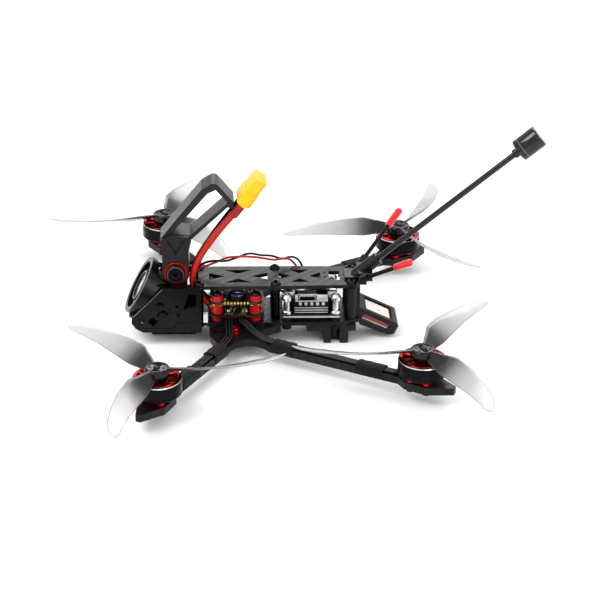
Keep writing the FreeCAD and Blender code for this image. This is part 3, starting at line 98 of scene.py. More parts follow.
# ------------------------------------------------------------------- materials
class Graph:
    """A short way to write a material's nodes."""

    def __init__(self, name):
        self.material = bpy.data.materials.new(name)
        self.material.use_nodes = True
        self.tree = self.material.node_tree
        self.shader = self.tree.nodes["Principled BSDF"]
        coords = self.tree.nodes.new("ShaderNodeTexCoord")
        self.place = coords.outputs["Object"]

    def add(self, kind, values=None, **settings):
        made = self.tree.nodes.new(kind)
        for key, value in settings.items():
            setattr(made, key, value)
        for key, value in (values or {}).items():
            self.feed(made.inputs[key], value)
        return made

    def feed(self, socket, value):
        if isinstance(value, bpy.types.NodeSocket):
            self.tree.links.new(value, socket)
        else:
            socket.default_value = value

    def noise(self, scale, detail=4.0, rough=0.55, at=None):
        return self.add("ShaderNodeTexNoise", {"Vector": at or self.place, "Scale": scale,
                                               "Detail": detail, "Roughness": rough}).outputs[0]

    def ramp(self, factor, low, high, start=0.3, end=0.7):
        node = self.add("ShaderNodeValToRGB", {"Fac": factor})
        first, last = node.color_ramp.elements
        first.position, last.position = start, end
        first.color, last.color = (*low, 1), (*high, 1)
        return node.outputs[0]

    def math(self, how, a, b=0.0):
        return self.add("ShaderNodeMath", {0: a, 1: b}, operation=how).outputs[0]

    def span(self, factor, low, high):
        node = self.add("ShaderNodeMapRange", {"Value": factor, "To Min": low, "To Max": high})
        return node.outputs[0]

    def mix(self, factor, a, b):
        node = self.add("ShaderNodeMix", data_type="RGBA")
        self.feed(node.inputs[0], factor)
        for socket, value in ((node.inputs[6], a), (node.inputs[7], b)):
            self.feed(socket, (*value, 1) if isinstance(value, tuple) else value)
        return node.outputs[2]

    def bump(self, height, strength, distance=0.0002):
        made = self.add("ShaderNodeBump", {"Height": height, "Strength": strength,
                                           "Distance": distance})
        self.feed(self.shader.inputs["Normal"], made.outputs[0])

    def set(self, **values):
        for key, value in values.items():
            name = key.replace("_", " ")
            name = {"Coat": "Coat Weight", "Sheen": "Sheen Weight", "Color": "Base Color",
                    "Transmission": "Transmission Weight",
                    "Specular": "Specular IOR Level"}.get(name, name)
            if isinstance(value, tuple):
                value = (*value, 1)
            self.feed(self.shader.inputs[name], value)
        return self.material


def edge_wear_and_highlight(g, base, worn_and_lit, amount=0.5, radius=0.0005):
    """Lighter colour where a bevelled normal leaves the flat one: rubbed edges on metal, and on
    carbon a painted highlight for light caught on chamfered edges.
    """
    bevel = g.add("ShaderNodeBevel", {"Radius": radius}, samples=4)
    geometry = g.add("ShaderNodeNewGeometry")
    dot = g.add("ShaderNodeVectorMath", {0: bevel.outputs[0], 1: geometry.outputs["Normal"]},
                operation="DOT_PRODUCT").outputs["Value"]
    edge = g.add("ShaderNodeMapRange", {"Value": dot, "From Min": 0.995, "From Max": 0.80,
                                        "To Min": 0.0, "To Max": amount}).outputs[0]
    return g.mix(edge, base, worn_and_lit)


def plastic(name, colour, rough=0.45, vary=0.25, grain=900, bump=0.12, **extra):
    g = Graph(name)
    extra.setdefault("Specular", 0.22 if max(colour) < 0.05 else 0.45)
    dark = tuple(c * (1 - vary) for c in colour)
    light = tuple(min(1, c * (1 + vary)) for c in colour)
    cloud = g.noise(70)
    g.set(Color=g.ramp(cloud, dark, light), Roughness=g.span(g.noise(260), rough - 0.07,
                                                             rough + 0.09), **extra)
    g.bump(g.noise(grain, 2), bump, 0.0001)
    return g.material


def printed(name, colour=(0.006, 0.006, 0.007), pitch=0.9, axis=2, lines_show=0.35):
    """Flexible printed plastic with its layer lines along one axis."""
    g = Graph(name)
    split = g.add("ShaderNodeSeparateXYZ", {"Vector": g.place})
    wobble = g.math("MULTIPLY", g.noise(300, 1), 0.00035)
    height = g.math("ADD", split.outputs[axis], wobble)
    lines = g.math("SINE", g.math("MULTIPLY", height, 2 * math.pi / (pitch * MM)))
    tone = g.mix(g.span(g.noise(90), 0.0, 1.0), colour, tuple(c * 1.7 for c in colour))
    g.set(Color=tone, Specular=0.36, Roughness=g.span(g.noise(400), 0.26, 0.40))
    g.bump(g.math("ADD", lines, g.math("MULTIPLY", g.noise(1600, 2), 0.7)), lines_show, 0.00007)
    return g.material


def carbon(name, tow=1.6, edge=(0.05, 0.05, 0.052)):
    """Satin carbon plate: two-by-two twill, seen as slanted tows of changing sheen."""
    g = Graph(name)
    split = g.add("ShaderNodeSeparateXYZ", {"Vector": g.place})
    u = g.math("MULTIPLY", split.outputs[0], 1 / (tow * MM))
    v = g.math("MULTIPLY", split.outputs[1], 1 / (tow * MM))
    column = g.math("FLOOR", u)
    row = g.math("FLOOR", v)
    phase = g.math("MODULO", g.math("ADD", g.math("ADD", column, row), 4000.0), 4.0)
    over = g.math("LESS_THAN", phase, 2.0)
    across = g.math("ABSOLUTE", g.math("SUBTRACT", g.math("FRACT", u), 0.5))
    along = g.math("ABSOLUTE", g.math("SUBTRACT", g.math("FRACT", v), 0.5))
    crown = g.add("ShaderNodeMix", data_type="FLOAT")
    g.feed(crown.inputs[0], over)
    g.feed(crown.inputs[2], across)
    g.feed(crown.inputs[3], along)
    tone = g.mix(over, (0.005, 0.005, 0.006), (0.014, 0.014, 0.016))
    haze = g.mix(g.span(g.noise(60), 0, 0.6), tone, (0.009, 0.009, 0.010))
    # Painted highlight: the plate edges take the lighter edge colour, standing for light caught on
    # their chamfers.
    g.set(Color=edge_wear_and_highlight(g, haze, edge, 0.8, 0.0003), Specular=0.30,
          Roughness=g.span(over, 0.30, 0.42))
    g.bump(g.math("ADD", g.math("MULTIPLY", crown.outputs[0], -1.0),
                  g.math("MULTIPLY", g.noise(1500, 2), 0.25)), 0.30, 0.00008)
    return g.material


def metal(name, colour, rough=0.3, brushed=None, wear=None):
    g = Graph(name)
    mottled = g.ramp(g.noise(150), tuple(c * 0.82 for c in colour), tuple(min(1, c * 1.12)
                                                                        for c in colour))
    if wear:
        mottled = edge_wear_and_highlight(g, mottled, wear, 0.7, 0.0003)
    grain = g.noise(900, 3)
    if brushed:
        stretch = g.add("ShaderNodeMapping", {"Vector": g.place})
        stretch.inputs["Scale"].default_value = brushed
        grain = g.noise(1.0, 3, at=stretch.outputs[0])
    g.set(Color=mottled, Metallic=1.0, Roughness=g.span(grain, rough - 0.08, rough + 0.12))
    g.bump(grain, 0.10, 0.00005)
    return g.material


def propeller(name):
    """Tinted clear plastic: smoky black near the hub, milky and see-through outwards."""
    g = Graph(name)
    share = g.add("ShaderNodeAttribute", attribute_name="reach").outputs["Fac"]
    side = g.add("ShaderNodeAttribute", attribute_name="margin").outputs["Fac"]
    cloud = g.math("ADD", share, g.math("MULTIPLY", g.math("SUBTRACT", g.noise(90), 0.5), 0.04))
    ramp = g.add("ShaderNodeValToRGB", {"Fac": cloud})
    stops = ramp.color_ramp.elements
    stops[0].position, stops[0].color = 0.10, (0.004, 0.004, 0.005, 1)
    stops[1].position, stops[1].color = 0.98, (0.54, 0.54, 0.52, 1)
    for position, tone in ((0.23, 0.012), (0.30, 0.07), (0.38, 0.22), (0.50, 0.38),
                           (0.75, 0.50)):
        stop = stops.new(position)
        stop.color = (tone, tone, tone * 0.985, 1)
    facing = g.add("ShaderNodeLayerWeight", {"Blend": 0.5}).outputs["Facing"]
    rim = g.add("ShaderNodeMapRange", {"Value": facing, "From Min": 0.68, "From Max": 0.92,
                                       "To Min": 0.0, "To Max": 0.9}).outputs[0]
    border = g.add("ShaderNodeMapRange", {"Value": side, "From Min": 0.86, "From Max": 1.0,
                                          "To Min": 0.0, "To Max": 0.65}).outputs[0]
    dark = g.math("MAXIMUM", rim, border)
    clear = g.add("ShaderNodeMapRange", {"Value": share, "From Min": 0.18, "From Max": 0.48,
                                         "To Min": 0.97, "To Max": 0.70}).outputs[0]
    g.set(Color=g.mix(dark, ramp.outputs[0], (0.10, 0.10, 0.10)), IOR=1.45,
          Alpha=g.math("MAXIMUM", clear, dark), Roughness=g.span(g.noise(120), 0.12, 0.22),
          Specular=0.6)
    g.bump(g.noise(500, 2), 0.04, 0.0001)
    return g.material


def cloth(name, colour=(0.006, 0.006, 0.0065)):
    """Woven cloth tape."""
    g = Graph(name)
    split = g.add("ShaderNodeSeparateXYZ", {"Vector": g.place})
    threads = []
    for k, axis in ((0, 0), (1, 1)):
        threads.append(g.math("SINE", g.math("MULTIPLY", split.outputs[axis],
                                             2 * math.pi / (0.55 * MM))))
    weave = g.math("MULTIPLY", *threads)
    tone = g.mix(g.span(weave, 0, 1), colour, tuple(c * 2.6 for c in colour))
    g.set(Color=tone, Roughness=0.78, Sheen=0.12, Specular=0.2)
    g.bump(g.math("ADD", weave, g.noise(700, 3)), 0.5, 0.00012)
    return g.material


def glass(name, colour, painted_reflection_tint=(0.25, 0.3, 0.6)):
    g = Graph(name)
    facing = g.add("ShaderNodeLayerWeight", {"Blend": 0.35}).outputs["Facing"]
    # Painted reflection: the colour turns to the tint at grazing angles, standing for the tinted
    # reflection of a coated surface.
    g.set(Color=g.mix(facing, colour, painted_reflection_tint), Roughness=g.span(g.noise(80), 0.03, 0.08),
          Coat=1.0, IOR=1.5, Transmission=0.2)
    g.bump(g.noise(30, 1), 0.01, 0.0001)
    return g.material


def floor_material():
    g = Graph("floor")
    g.set(Color=g.ramp(g.noise(3), (0.93, 0.93, 0.93), (0.95, 0.95, 0.95)), Roughness=0.9,
          Specular=0.1)
    return g.material


MAT = {
    "floor": floor_material(),
    "carbon": carbon("carbon"),
    # Roof plate carbon, with a brighter painted highlight on its edges.
    "carbon_edge_highlight": carbon("carbon_edge_highlight", edge=(0.09, 0.09, 0.092)),
    "printed": printed("printed"),
    "printed_x": printed("printed_x", colour=(0.010, 0.010, 0.011), axis=1, pitch=0.8),
    "moulded": plastic("moulded", (0.004, 0.004, 0.005), 0.25, bump=0.10, Specular=0.32),
    "sheen_grey": plastic("sheen_grey", (0.16, 0.16, 0.165), 0.35),
    "black_metal": metal("black_metal", (0.020, 0.020, 0.022), 0.30, wear=(0.2, 0.2, 0.21)),
    "bell_metal": metal("bell_metal", (0.016, 0.016, 0.018), 0.26),
    "silver": metal("silver", (0.62, 0.62, 0.63), 0.34, brushed=(80, 1500, 80)),
    "bright": metal("bright", (0.80, 0.80, 0.80), 0.18),
    "tin": metal("tin", (0.66, 0.66, 0.65), 0.30),
    "gold": metal("gold", (0.80, 0.52, 0.18), 0.28),
    "copper": metal("copper", (0.55, 0.22, 0.10), 0.34, brushed=(60, 60, 2500)),
    "red_metal": metal("red_metal", (0.66, 0.02, 0.015), 0.27),
    "laminate": metal("laminate", (0.10, 0.095, 0.09), 0.45, brushed=(50, 50, 3500)),
    "screw": metal("screw", (0.028, 0.028, 0.030), 0.30),
    "black_plastic": plastic("black_plastic", (0.006, 0.006, 0.007), 0.38),
    "matt_black": plastic("matt_black", (0.005, 0.005, 0.0055), 0.6, bump=0.3),
    "gloss_black": plastic("gloss_black", (0.005, 0.005, 0.006), 0.20, bump=0.04, Specular=0.4),
    "grey_plastic": plastic("grey_plastic", (0.10, 0.10, 0.105), 0.45),
    "white_plastic": plastic("white_plastic", (0.78, 0.76, 0.72), 0.42),
    "ceramic": plastic("ceramic", (0.84, 0.78, 0.72), 0.5, vary=0.05, bump=0.25),
    "brown_part": plastic("brown_part", (0.30, 0.085, 0.045), 0.42, vary=0.15),
    "piano": plastic("piano", (0.004, 0.004, 0.005), 0.09, bump=0.02, Specular=0.6),
    "red_rubber": plastic("red_rubber", (0.50, 0.010, 0.007), 0.30, vary=0.12),
    "red_gloss": plastic("red_gloss", (0.64, 0.010, 0.010), 0.16, vary=0.08, bump=0.03, Coat=0.6),
    "red_wire": plastic("red_wire", (0.46, 0.018, 0.006), 0.32, vary=0.12, bump=0.08),
    "black_wire": plastic("black_wire", (0.006, 0.006, 0.006), 0.28, bump=0.06, Specular=0.45),
    "shrink": plastic("shrink", (0.25, 0.012, 0.010), 0.30, vary=0.3),
    "yellow": plastic("yellow", (0.86, 0.50, 0.006), 0.40, vary=0.08, bump=0.15),
    "white_wire": plastic("white_wire", (0.75, 0.75, 0.72), 0.4),
    "green_wire": plastic("green_wire", (0.25, 0.42, 0.05), 0.4),
    "board": plastic("board", (0.008, 0.009, 0.010), 0.30, vary=0.5, grain=2500),
    "board_red": plastic("board_red", (0.30, 0.012, 0.012), 0.28, vary=0.3, grain=2500, Coat=0.3),
    "chip": plastic("chip", (0.010, 0.010, 0.011), 0.42, vary=0.3, grain=3000),
    "tan_part": plastic("tan_part", (0.45, 0.30, 0.17), 0.4),
    "propeller": propeller("propeller"),
    "cloth": cloth("cloth"),
    "iridescent": glass("iridescent", (0.008, 0.014, 0.020), (0.10, 0.06, 0.26)),
    "lens": glass("lens", (0.004, 0.005, 0.008), (0.05, 0.06, 0.12)),
    "dome": glass("dome", (0.05, 0.05, 0.08), (0.7, 0.5, 0.8)),
}


# ---------------------------------------------------------------- mesh making
def axes_to(direction, up=(0, 0, 1)):
    """A turn that takes +Z to a direction."""
    return Vector(direction).normalized().to_track_quat("Z", "Y").to_matrix().to_4x4()


def at(x, y, z, direction=None):
    move = Matrix.Translation((x * MM, y * MM, z * MM))
    return move @ axes_to(direction) if direction else move


class Kit:
    """Gathers shapes, given in millimetres, into one piece with several materials."""

    def __init__(self, name):
        self.name, self.points, self.faces, self.tags, self.mats = name, [], [], [], []

    def take(self, points, faces, material, place=None):
        if material not in self.mats:
            self.mats.append(material)
        tag, base = self.mats.index(material), len(self.points)
        place = place or Matrix.Identity(4)
        self.points += [place @ (Vector(p) * MM) for p in points]
        self.faces += [[base + i for i in face] for face in faces]
        self.tags += [tag] * len(faces)

    def box(self, low, high, material, bevel=0.15, place=None, segments=2):
        bm = bmesh.new()
        bmesh.ops.create_cube(bm, size=1)
        size = [h - l for l, h in zip(low, high)]
        middle = [(h + l) / 2 for l, h in zip(low, high)]
        for v in bm.verts:
            v.co = Vector(c * s + m for c, s, m in zip(v.co, size, middle))
        if bevel:
            bmesh.ops.bevel(bm, geom=bm.edges[:], offset=min(bevel, min(size) * 0.45),
                            segments=segments, profile=0.5, affect="EDGES")
        self.take_bmesh(bm, material, place)

    def take_bmesh(self, bm, material, place=None):
        bm.verts.index_update()
        self.take([v.co[:] for v in bm.verts], [[v.index for v in f.verts] for f in bm.faces],
                  material, place)
        bm.free()

    def lathe(self, profile, material, place=None, segments=48, closed=False):
        """Turns (radius, height) points round +Z; a zero radius closes the end."""
        points, faces, rings = [], [], []
        for r, z in profile:
            if r <= 1e-6:
                rings.append([len(points)])
                points.append((0, 0, z))
                continue
            rings.append(list(range(len(points), len(points) + segments)))
            for i in range(segments):
                a = 2 * math.pi * i / segments
                points.append((r * math.cos(a), r * math.sin(a), z))
        pairs = list(zip(rings, rings[1:])) + ([(rings[-1], rings[0])] if closed else [])
        for low, high in pairs:
            for i in range(segments):
                j = (i + 1) % segments
                if len(low) == 1 and len(high) > 1:
                    faces.append([low[0], high[j], high[i]])
                elif len(high) == 1 and len(low) > 1:
                    faces.append([low[i], low[j], high[0]])
                elif len(low) > 1:
                    faces.append([low[i], low[j], high[j], high[i]])
        self.take(points, faces, material, place)

    def cylinder(self, radius, low, high, material, place=None, edge=0.12, segments=32):
        edge = min(edge, radius * 0.4, (high - low) * 0.4)
        self.lathe([(0, low), (radius - edge, low), (radius, low + edge), (radius, high - edge),
                    (radius - edge, high), (0, high)], material, place, segments)

    def tube(self, path, radius, material, place=None, segments=12, caps=True):
        """A round tube along points; the radius may be a list."""
        path = [Vector(p) for p in path]
        radii = radius if isinstance(radius, (list, tuple)) else [radius] * len(path)
        side, points, faces = None, [], []
        for i, p in enumerate(path):
            run = (path[min(i + 1, len(path) - 1)] - path[max(i - 1, 0)]).normalized()
            side = side or run.orthogonal()
            side = (side - run * side.dot(run)).normalized()
            other = run.cross(side)
            for k in range(segments):
                a = 2 * math.pi * k / segments
                points.append(p + (side * math.cos(a) + other * math.sin(a)) * radii[i])
        for i in range(len(path) - 1):
            for k in range(segments):
                j = (k + 1) % segments
                a, b = i * segments, (i + 1) * segments
                faces.append([a + k, a + j, b + j, b + k])
        if caps:
            faces.append(list(reversed(range(segments))))
            faces.append([len(points) - segments + k for k in range(segments)])
        self.take(points, faces, material, place)

    def screw(self, place, radius=2.75, height=1.7, material="screw"):
        """A button head with a six-sided socket; +Z is out of the head."""
        socket = radius * 0.42
        self.lathe([(radius, 0), (radius, height * 0.25), (radius * 0.86, height * 0.68),
                    (radius * 0.62, height * 0.94), (socket * 1.12, height)], material, place, 28)
        points, faces = [], []
        for ring, (reach, z) in enumerate(((socket * 1.12, height), (socket, height * 0.9),
                                           (socket, height * 0.35))):
            for k in range(28):
                a = 2 * math.pi * k / 28
                bite = math.cos(math.pi / 6) / math.cos((a % (math.pi / 3)) - math.pi / 6)
                scale = 1.0 if ring == 0 else bite
                points.append((reach * scale * math.cos(a), reach * scale * math.sin(a), z))
        for ring in range(2):
            for k in range(28):
                j = (k + 1) % 28
                a, b = ring * 28, (ring + 1) * 28
                faces.append([a + k, a + j, b + j, b + k])
        faces.append([56 + k for k in range(28)])
        self.take(points, faces, material, place)

    def finish(self, body, replaces=(), sharp=32, bevel=None):
        mesh = bpy.data.meshes.new(self.name)
        mesh.from_pydata(self.points, [], self.faces)
        for name in self.mats:
            mesh.materials.append(MAT[name])
        mesh.polygons.foreach_set("material_index", self.tags)
        mesh.polygons.foreach_set("use_smooth", [True] * len(self.faces))
        mesh.set_sharp_from_angle(angle=math.radians(sharp))
        mesh.update()
        obj = bpy.data.objects.new(self.name, mesh)
        bpy.context.scene.collection.objects.link(obj)
        if bevel:
            add_bevel(obj, bevel)
        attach(obj, body)
        if replaces:
            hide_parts(*replaces)
        return obj


def add_bevel(obj, width, segments=2, angle=35):
    made = obj.modifiers.new("edges", "BEVEL")
    made.width = width * MM
    made.segments = segments
    made.limit_method = "ANGLE"
    made.angle_limit = math.radians(angle)
    made.use_clamp_overlap = True
    made.harden_normals = False


def dress(material, *names, bevel=None):
    """Gives carried-over CAD nodes their material."""
    for name in names:
        for slot in NODES[name].material_slots:
            slot.material = MAT[material]
        if bevel:
            add_bevel(NODES[name], bevel)


# ------------------------------------------------------------------------ cords
LEAD_ROUTE = [(5.0, -39.2, 18.0), (5.0, -44.0, 22.6), (5.1, -49.0, 29.6), (5.2, -48.9, 37.8),
              (5.6, -44.9, 47.2), (6.2, -39.0, 56.6), (7.0, -32.5, 65.6), (7.5, -27.4, 71.9),
              (7.9, -22.6, 77.9)]
BLACK_ROUTE = [(0.9, -39.2, 18.0), (0.9, -44.0, 22.6), (0.8, -48.8, 29.6), (0.5, -48.4, 37.8),
               (0.3, -44.2, 47.0), (0.2, -38.4, 56.2), (0.3, -32.1, 65.4), (0.6, -27.4, 71.9),
               (0.7, -22.6, 77.9)]
RED_PAIR_ROUTE = [(-2.4, -38.4, 25.4), (-2.4, -43.2, 25.4), (-2.3, -48.0, 28.3),
                  (-2.0, -48.2, 33.9), (-1.6, -43.2, 37.2), (-3.2, -37.2, 39.0),
                  (-3.3, -30.8, 42.0), (-1.6, -24.6, 43.2), (-3.4, -18.4, 42.2),
                  (-6.0, -12.4, 40.2), (-7.6, -6.2, 38.0), (-10.8, -0.8, 37.6),
                  (-13.3, 4.0, 35.6), (-13.2, 6.8, 30.4)]
BLACK_PAIR_ROUTE = [(-4.6, -38.4, 25.4), (-4.6, -43.0, 25.4), (-4.6, -47.7, 28.0),
                    (-4.6, -48.5, 33.6), (-4.2, -44.2, 38.0), (-1.4, -38.0, 41.2),
                    (-1.3, -31.6, 40.4), (-3.9, -25.4, 41.6), (-5.4, -19.2, 43.6),
                    (-4.4, -12.8, 42.4), (-9.4, -7.0, 40.0), (-12.4, -1.8, 36.2),
                    (-14.4, 3.6, 37.2), (-13.6, 8.2, 35.0), (-13.2, 9.6, 30.4)]


def cord_curve(name, route, radius, material, node):
    """A free cord as a smooth curve that stands for its CAD tube."""
    data = bpy.data.curves.new(name, "CURVE")
    data.dimensions = "3D"
    data.bevel_depth = radius * MM
    data.bevel_resolution = 5
    data.use_fill_caps = True
    data.resolution_u = 14
    spline = data.splines.new("NURBS")
    spline.points.add(len(route) - 1)
    for point, place in zip(spline.points, route):
        point.co = (*(c * MM for c in place), 1)
    spline.order_u = 3
    spline.use_endpoint_u = True
    data.materials.append(MAT[material])
    obj = bpy.data.objects.new(name, data)
    bpy.context.scene.collection.objects.link(obj)
    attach(obj, "frame")
    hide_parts(node)
    return obj


make_camera()
make_stage()


# ----------------------------------------------------------------------- leads
def make_connector():
    """Two-pole plug with a chamfered side, ribs for grip and sockets in its end."""
    kit = Kit("battery_plug")
    base = Vector((4.3, -22.6, 77.9))
    along = Vector((0, 0.587, 0.810)).normalized()
    across = Vector((1, 0, 0))
    up = along.cross(across)
    turn = Matrix((across, up, along)).transposed().to_4x4()
    place = Matrix.Translation(base * MM) @ turn

    def shell(outline, low, high, material, edge=0.35):
        bm = bmesh.new()
        rings = []
        for z in (low, high):
            rings.append([bm.verts.new((x, y, z)) for x, y in outline])
        count = len(outline)
        bm.faces.new(list(reversed(rings[0])))
        bm.faces.new(rings[1])
        for i in range(count):
            j = (i + 1) % count
            bm.faces.new([rings[0][i], rings[0][j], rings[1][j], rings[1][i]])
        bmesh.ops.bevel(bm, geom=bm.edges[:], offset=edge, segments=2, profile=0.5,
                        affect="EDGES")
        kit.take_bmesh(bm, material, place)

    def outline(w, t):
        return [(-w, -t), (w, -t), (w, t * 0.35), (w * 0.62, t), (-w, t)]

    shell(outline(7.85, 4.05), 0.0, 7.4, "yellow")
    shell(outline(7.35, 3.6), 7.0, 16.0, "yellow", 0.25)
    for k in range(4):
        z = 1.2 + k * 1.5
        kit.box((-7.95, -4.12, z), (-5.2, 3.2, z + 0.55), "yellow", 0.15, place)
        kit.box((6.2, -4.12, z), (7.95, 1.2, z + 0.55), "yellow", 0.15, place)
    for x in (-3.6, 3.6):
        seat = place @ Matrix.Translation((x * MM, 0, 0))
        # Painted shade: a black cup lines each socket mouth, standing for the shadowed inside of the
        # hole.
        kit.lathe([(2.35, 16.02), (2.2, 15.9), (2.15, 12.0), (0, 12.0)], "matt_black", seat, 24)
        kit.lathe([(1.75, 12.0), (1.75, 15.6), (1.35, 15.75), (1.3, 12.5), (0, 12.5)], "gold",
                  seat, 24)
        kit.lathe([(2.5, -1.2), (2.5, 0.1), (1.7, 0.1)], "yellow", seat, 24)
        sleeve = "shrink" if x > 0 else "matt_black"
        kit.lathe([(1.82, -8.6), (2.1, -8.2), (2.25, -4.0), (2.3, -0.1), (1.5, 0.0)], sleeve,
                  seat, 24)
    return kit.finish("frame", ["battery_connector"])


plug = make_connector()
cord_curve("lead_red_cord", LEAD_ROUTE, 1.75, "red_wire", "lead_red")
cord_curve("lead_black_cord", BLACK_ROUTE, 1.75, "black_wire", "lead_black")
cord_curve("pair_red_cord", RED_PAIR_ROUTE, 0.6, "red_wire", "pair_red")
cord_curve("pair_black_cord", BLACK_PAIR_ROUTE, 0.6, "black_wire", "pair_black")


# ---------------------------------------------------------------- motors, props
ARM_TOP = 10.5
BELL_LOW, BELL_TOP = 14.8, 23.4


def arm_turn(name):
    """The direction of a motor's arm, in the row frame."""
    end = name.split("_")[0]
    side = 1 if name.endswith("left") else -1
    hub, root = HUBS[f"{end}_left"], ROOTS[end]
    turn = math.atan2(hub[1] - root[1], hub[0] - root[0])
    return turn if side == 1 else math.pi - turn


def blade_mesh(kit, name):
    """Three twisted, swept blades with aerofoil sections."""
    spin = SPINS[name]
    stations = [(0.070, 5.6, 0.0, 38, 2.2), (0.17, 8.6, -0.6, 36, 1.9),
                (0.30, 12.2, -1.4, 34, 1.6), (0.46, 12.0, -0.9, 27, 1.4),
                (0.64, 10.4, 0.8, 20, 1.2), (0.80, 8.8, 3.2, 15, 1.1),
                (0.92, 6.8, 6.0, 13, 0.95), (1.0, 2.6, 9.0, 12, 0.8)]
    aerofoil = [(0.5, 0.0), (0.44, 0.34), (0.32, 0.47), (0.12, 0.5), (-0.12, 0.40),
                (-0.34, 0.22), (-0.5, 0.05), (-0.5, -0.05), (-0.3, -0.08), (0.0, -0.18),
                (0.3, -0.32), (0.44, -0.26)]

    def value(share, column):
        for a, b in zip(stations, stations[1:]):
            if share <= b[0] + 1e-9:
                t = (share - a[0]) / (b[0] - a[0])
                t = t * t * (3 - 2 * t) * 0.35 + t * 0.65
                return a[column] + (b[column] - a[column]) * t
        return stations[-1][column]

    shares = [0.07 + 0.93 * i / 46 for i in range(47)]
    margins = []
    x, y = HUBS[name]
    middle = BELL_TOP + 0.4 + 2.3 + 0.2
    for k in range(3):
        points, faces, reach = [], [], []
        start = math.radians(TIPS[name] + spin * 8.4 + 120 * k)
        spot = Matrix.Translation((x * MM, y * MM, middle * MM)) @ Matrix.Rotation(start, 4, "Z")
        for share in shares:
            chord, back = value(share, 1), value(share, 2)
            if share > 0.94:
                chord *= math.sqrt(max(0.02, 1 - ((share - 0.94) / 0.0605) ** 2)) * 0.75 + 0.25
            tilt, thick = math.radians(value(share, 3)), value(share, 4)
            for along, up in aerofoil:
                lateral = back - along * chord * math.cos(tilt) + up * thick * math.sin(tilt)
                height = along * chord * math.sin(tilt) + up * thick * math.cos(tilt)
                points.append((64.8 * share, -spin * lateral, height))
                margins.append(max(min(1.0, abs(along) * 2), (share - 0.9) * 10))
        n = len(aerofoil)
        for i in range(len(shares) - 1):
            for j in range(n):
                m = (j + 1) % n
                faces.append([i * n + j, i * n + m, (i + 1) * n + m, (i + 1) * n + j])
        faces.append(list(range(n)))
        faces.append(list(range((len(shares) - 1) * n, len(shares) * n)))
        kit.take(points, faces, "propeller", spot)
    return margins


def make_prop(name):
    kit = Kit(f"propeller_{name}")
    margins = blade_mesh(kit, name)
    x, y = HUBS[name]
    low = BELL_TOP + 0.4
    spot = at(x, y, low)
    kit.lathe([(1.6, 0), (5.9, 0), (6.3, 0.35), (6.3, 3.6), (6.0, 4.2), (5.2, 4.6), (4.6, 4.6),
               (4.4, 4.2), (1.6, 4.2)], "gloss_black", spot, 48)
    for k in range(6):
        a = math.radians(60 * k + 20)
        kit.cylinder(0.62, 4.05, 4.28, "matt_black",
                     at(x + 3.4 * math.cos(a), y + 3.4 * math.sin(a), low), 0.02, 14)
    for side in (1, -1):
        a = math.radians(TIPS[name] + 60)
        spot_screw = at(x + side * 2.55 * math.cos(a), y + side * 2.55 * math.sin(a), low + 4.15)
        kit.screw(spot_screw, 1.35, 0.75, "screw")
    kit.lathe([(1.62, 3.9), (1.62, 4.5), (1.4, 4.72), (0.5, 4.76), (0, 4.70)], "black_metal",
              spot, 24)
    obj = kit.finish(f"rotor_{name}", [f"prop_{name}"], sharp=48)
    reach = obj.data.attributes.new("reach", "FLOAT", "POINT")
    values = [math.hypot(v.co.x - x * MM, v.co.y - y * MM) / (64.8 * MM)
              for v in obj.data.vertices]
    reach.data.foreach_set("value", values)
    margin = obj.data.attributes.new("margin", "FLOAT", "POINT")
    margin.data.foreach_set("value", margins + [0.0] * (len(values) - len(margins)))
    return obj


def make_bell(name):
    """The rotor's magnet ring, and its red lid with slanted windows."""
    x, y = HUBS[name]
    spot = at(x, y, 0)
    kit = Kit(f"magnet_ring_{name}")
    kit.lathe([(11.3, BELL_LOW), (12.0, BELL_LOW), (12.35, BELL_LOW + 0.35),
               (12.35, BELL_LOW + 1.1), (12.2, BELL_LOW + 1.25), (12.2, BELL_LOW + 1.5),
               (12.35, BELL_LOW + 1.65), (12.35, BELL_TOP - 1.5), (11.9, BELL_TOP - 0.7),
               (11.3, BELL_TOP - 0.35), (11.3, BELL_LOW)], "bell_metal", spot, 64)
    kit.lathe([(12.20, BELL_TOP - 1.22), (11.92, BELL_TOP - 0.71), (11.86, BELL_TOP - 0.69)],
              "tin", spot, 64)
    for k in range(14):
        place = at(x, y, 0) @ Matrix.Rotation(2 * math.pi * k / 14, 4, "Z")
        kit.box((10.75, -2.1, BELL_LOW + 0.4), (11.32, 2.1, BELL_TOP - 3.4), "bright", 0.1, place)
    kit.finish(f"rotor_{name}", [f"bell_{name}"])
    kit = Kit(f"motor_lid_{name}")
    bar = []
    for k in range(9):
        turn = 2 * math.pi * k / 9
        place = at(x, y, 0) @ Matrix.Rotation(turn, 4, "Z")
        kit.box((4.0, -0.75, BELL_TOP - 2.0), (11.5, 0.75, BELL_TOP - 0.6), "red_metal", 0.25,
                place)
    kit.lathe([(11.25, BELL_TOP - 2.0), (11.25, BELL_TOP - 0.5), (10.5, BELL_TOP - 0.4),
               (10.2, BELL_TOP - 0.7), (10.2, BELL_TOP - 2.0), (11.25, BELL_TOP - 2.0)],
              "red_metal", spot, 64)
    kit.lathe([(1.5, BELL_TOP - 2.0), (4.7, BELL_TOP - 2.0), (4.7, BELL_TOP + 0.1),
               (4.4, BELL_TOP + 0.4), (1.5, BELL_TOP + 0.4)], "black_metal", spot, 40)
    kit.cylinder(1.5, ARM_TOP + 0.6, BELL_TOP + 0.3, "bright", spot, 0.1, 20)
    kit.finish(f"rotor_{name}", [f"cap_{name}"])


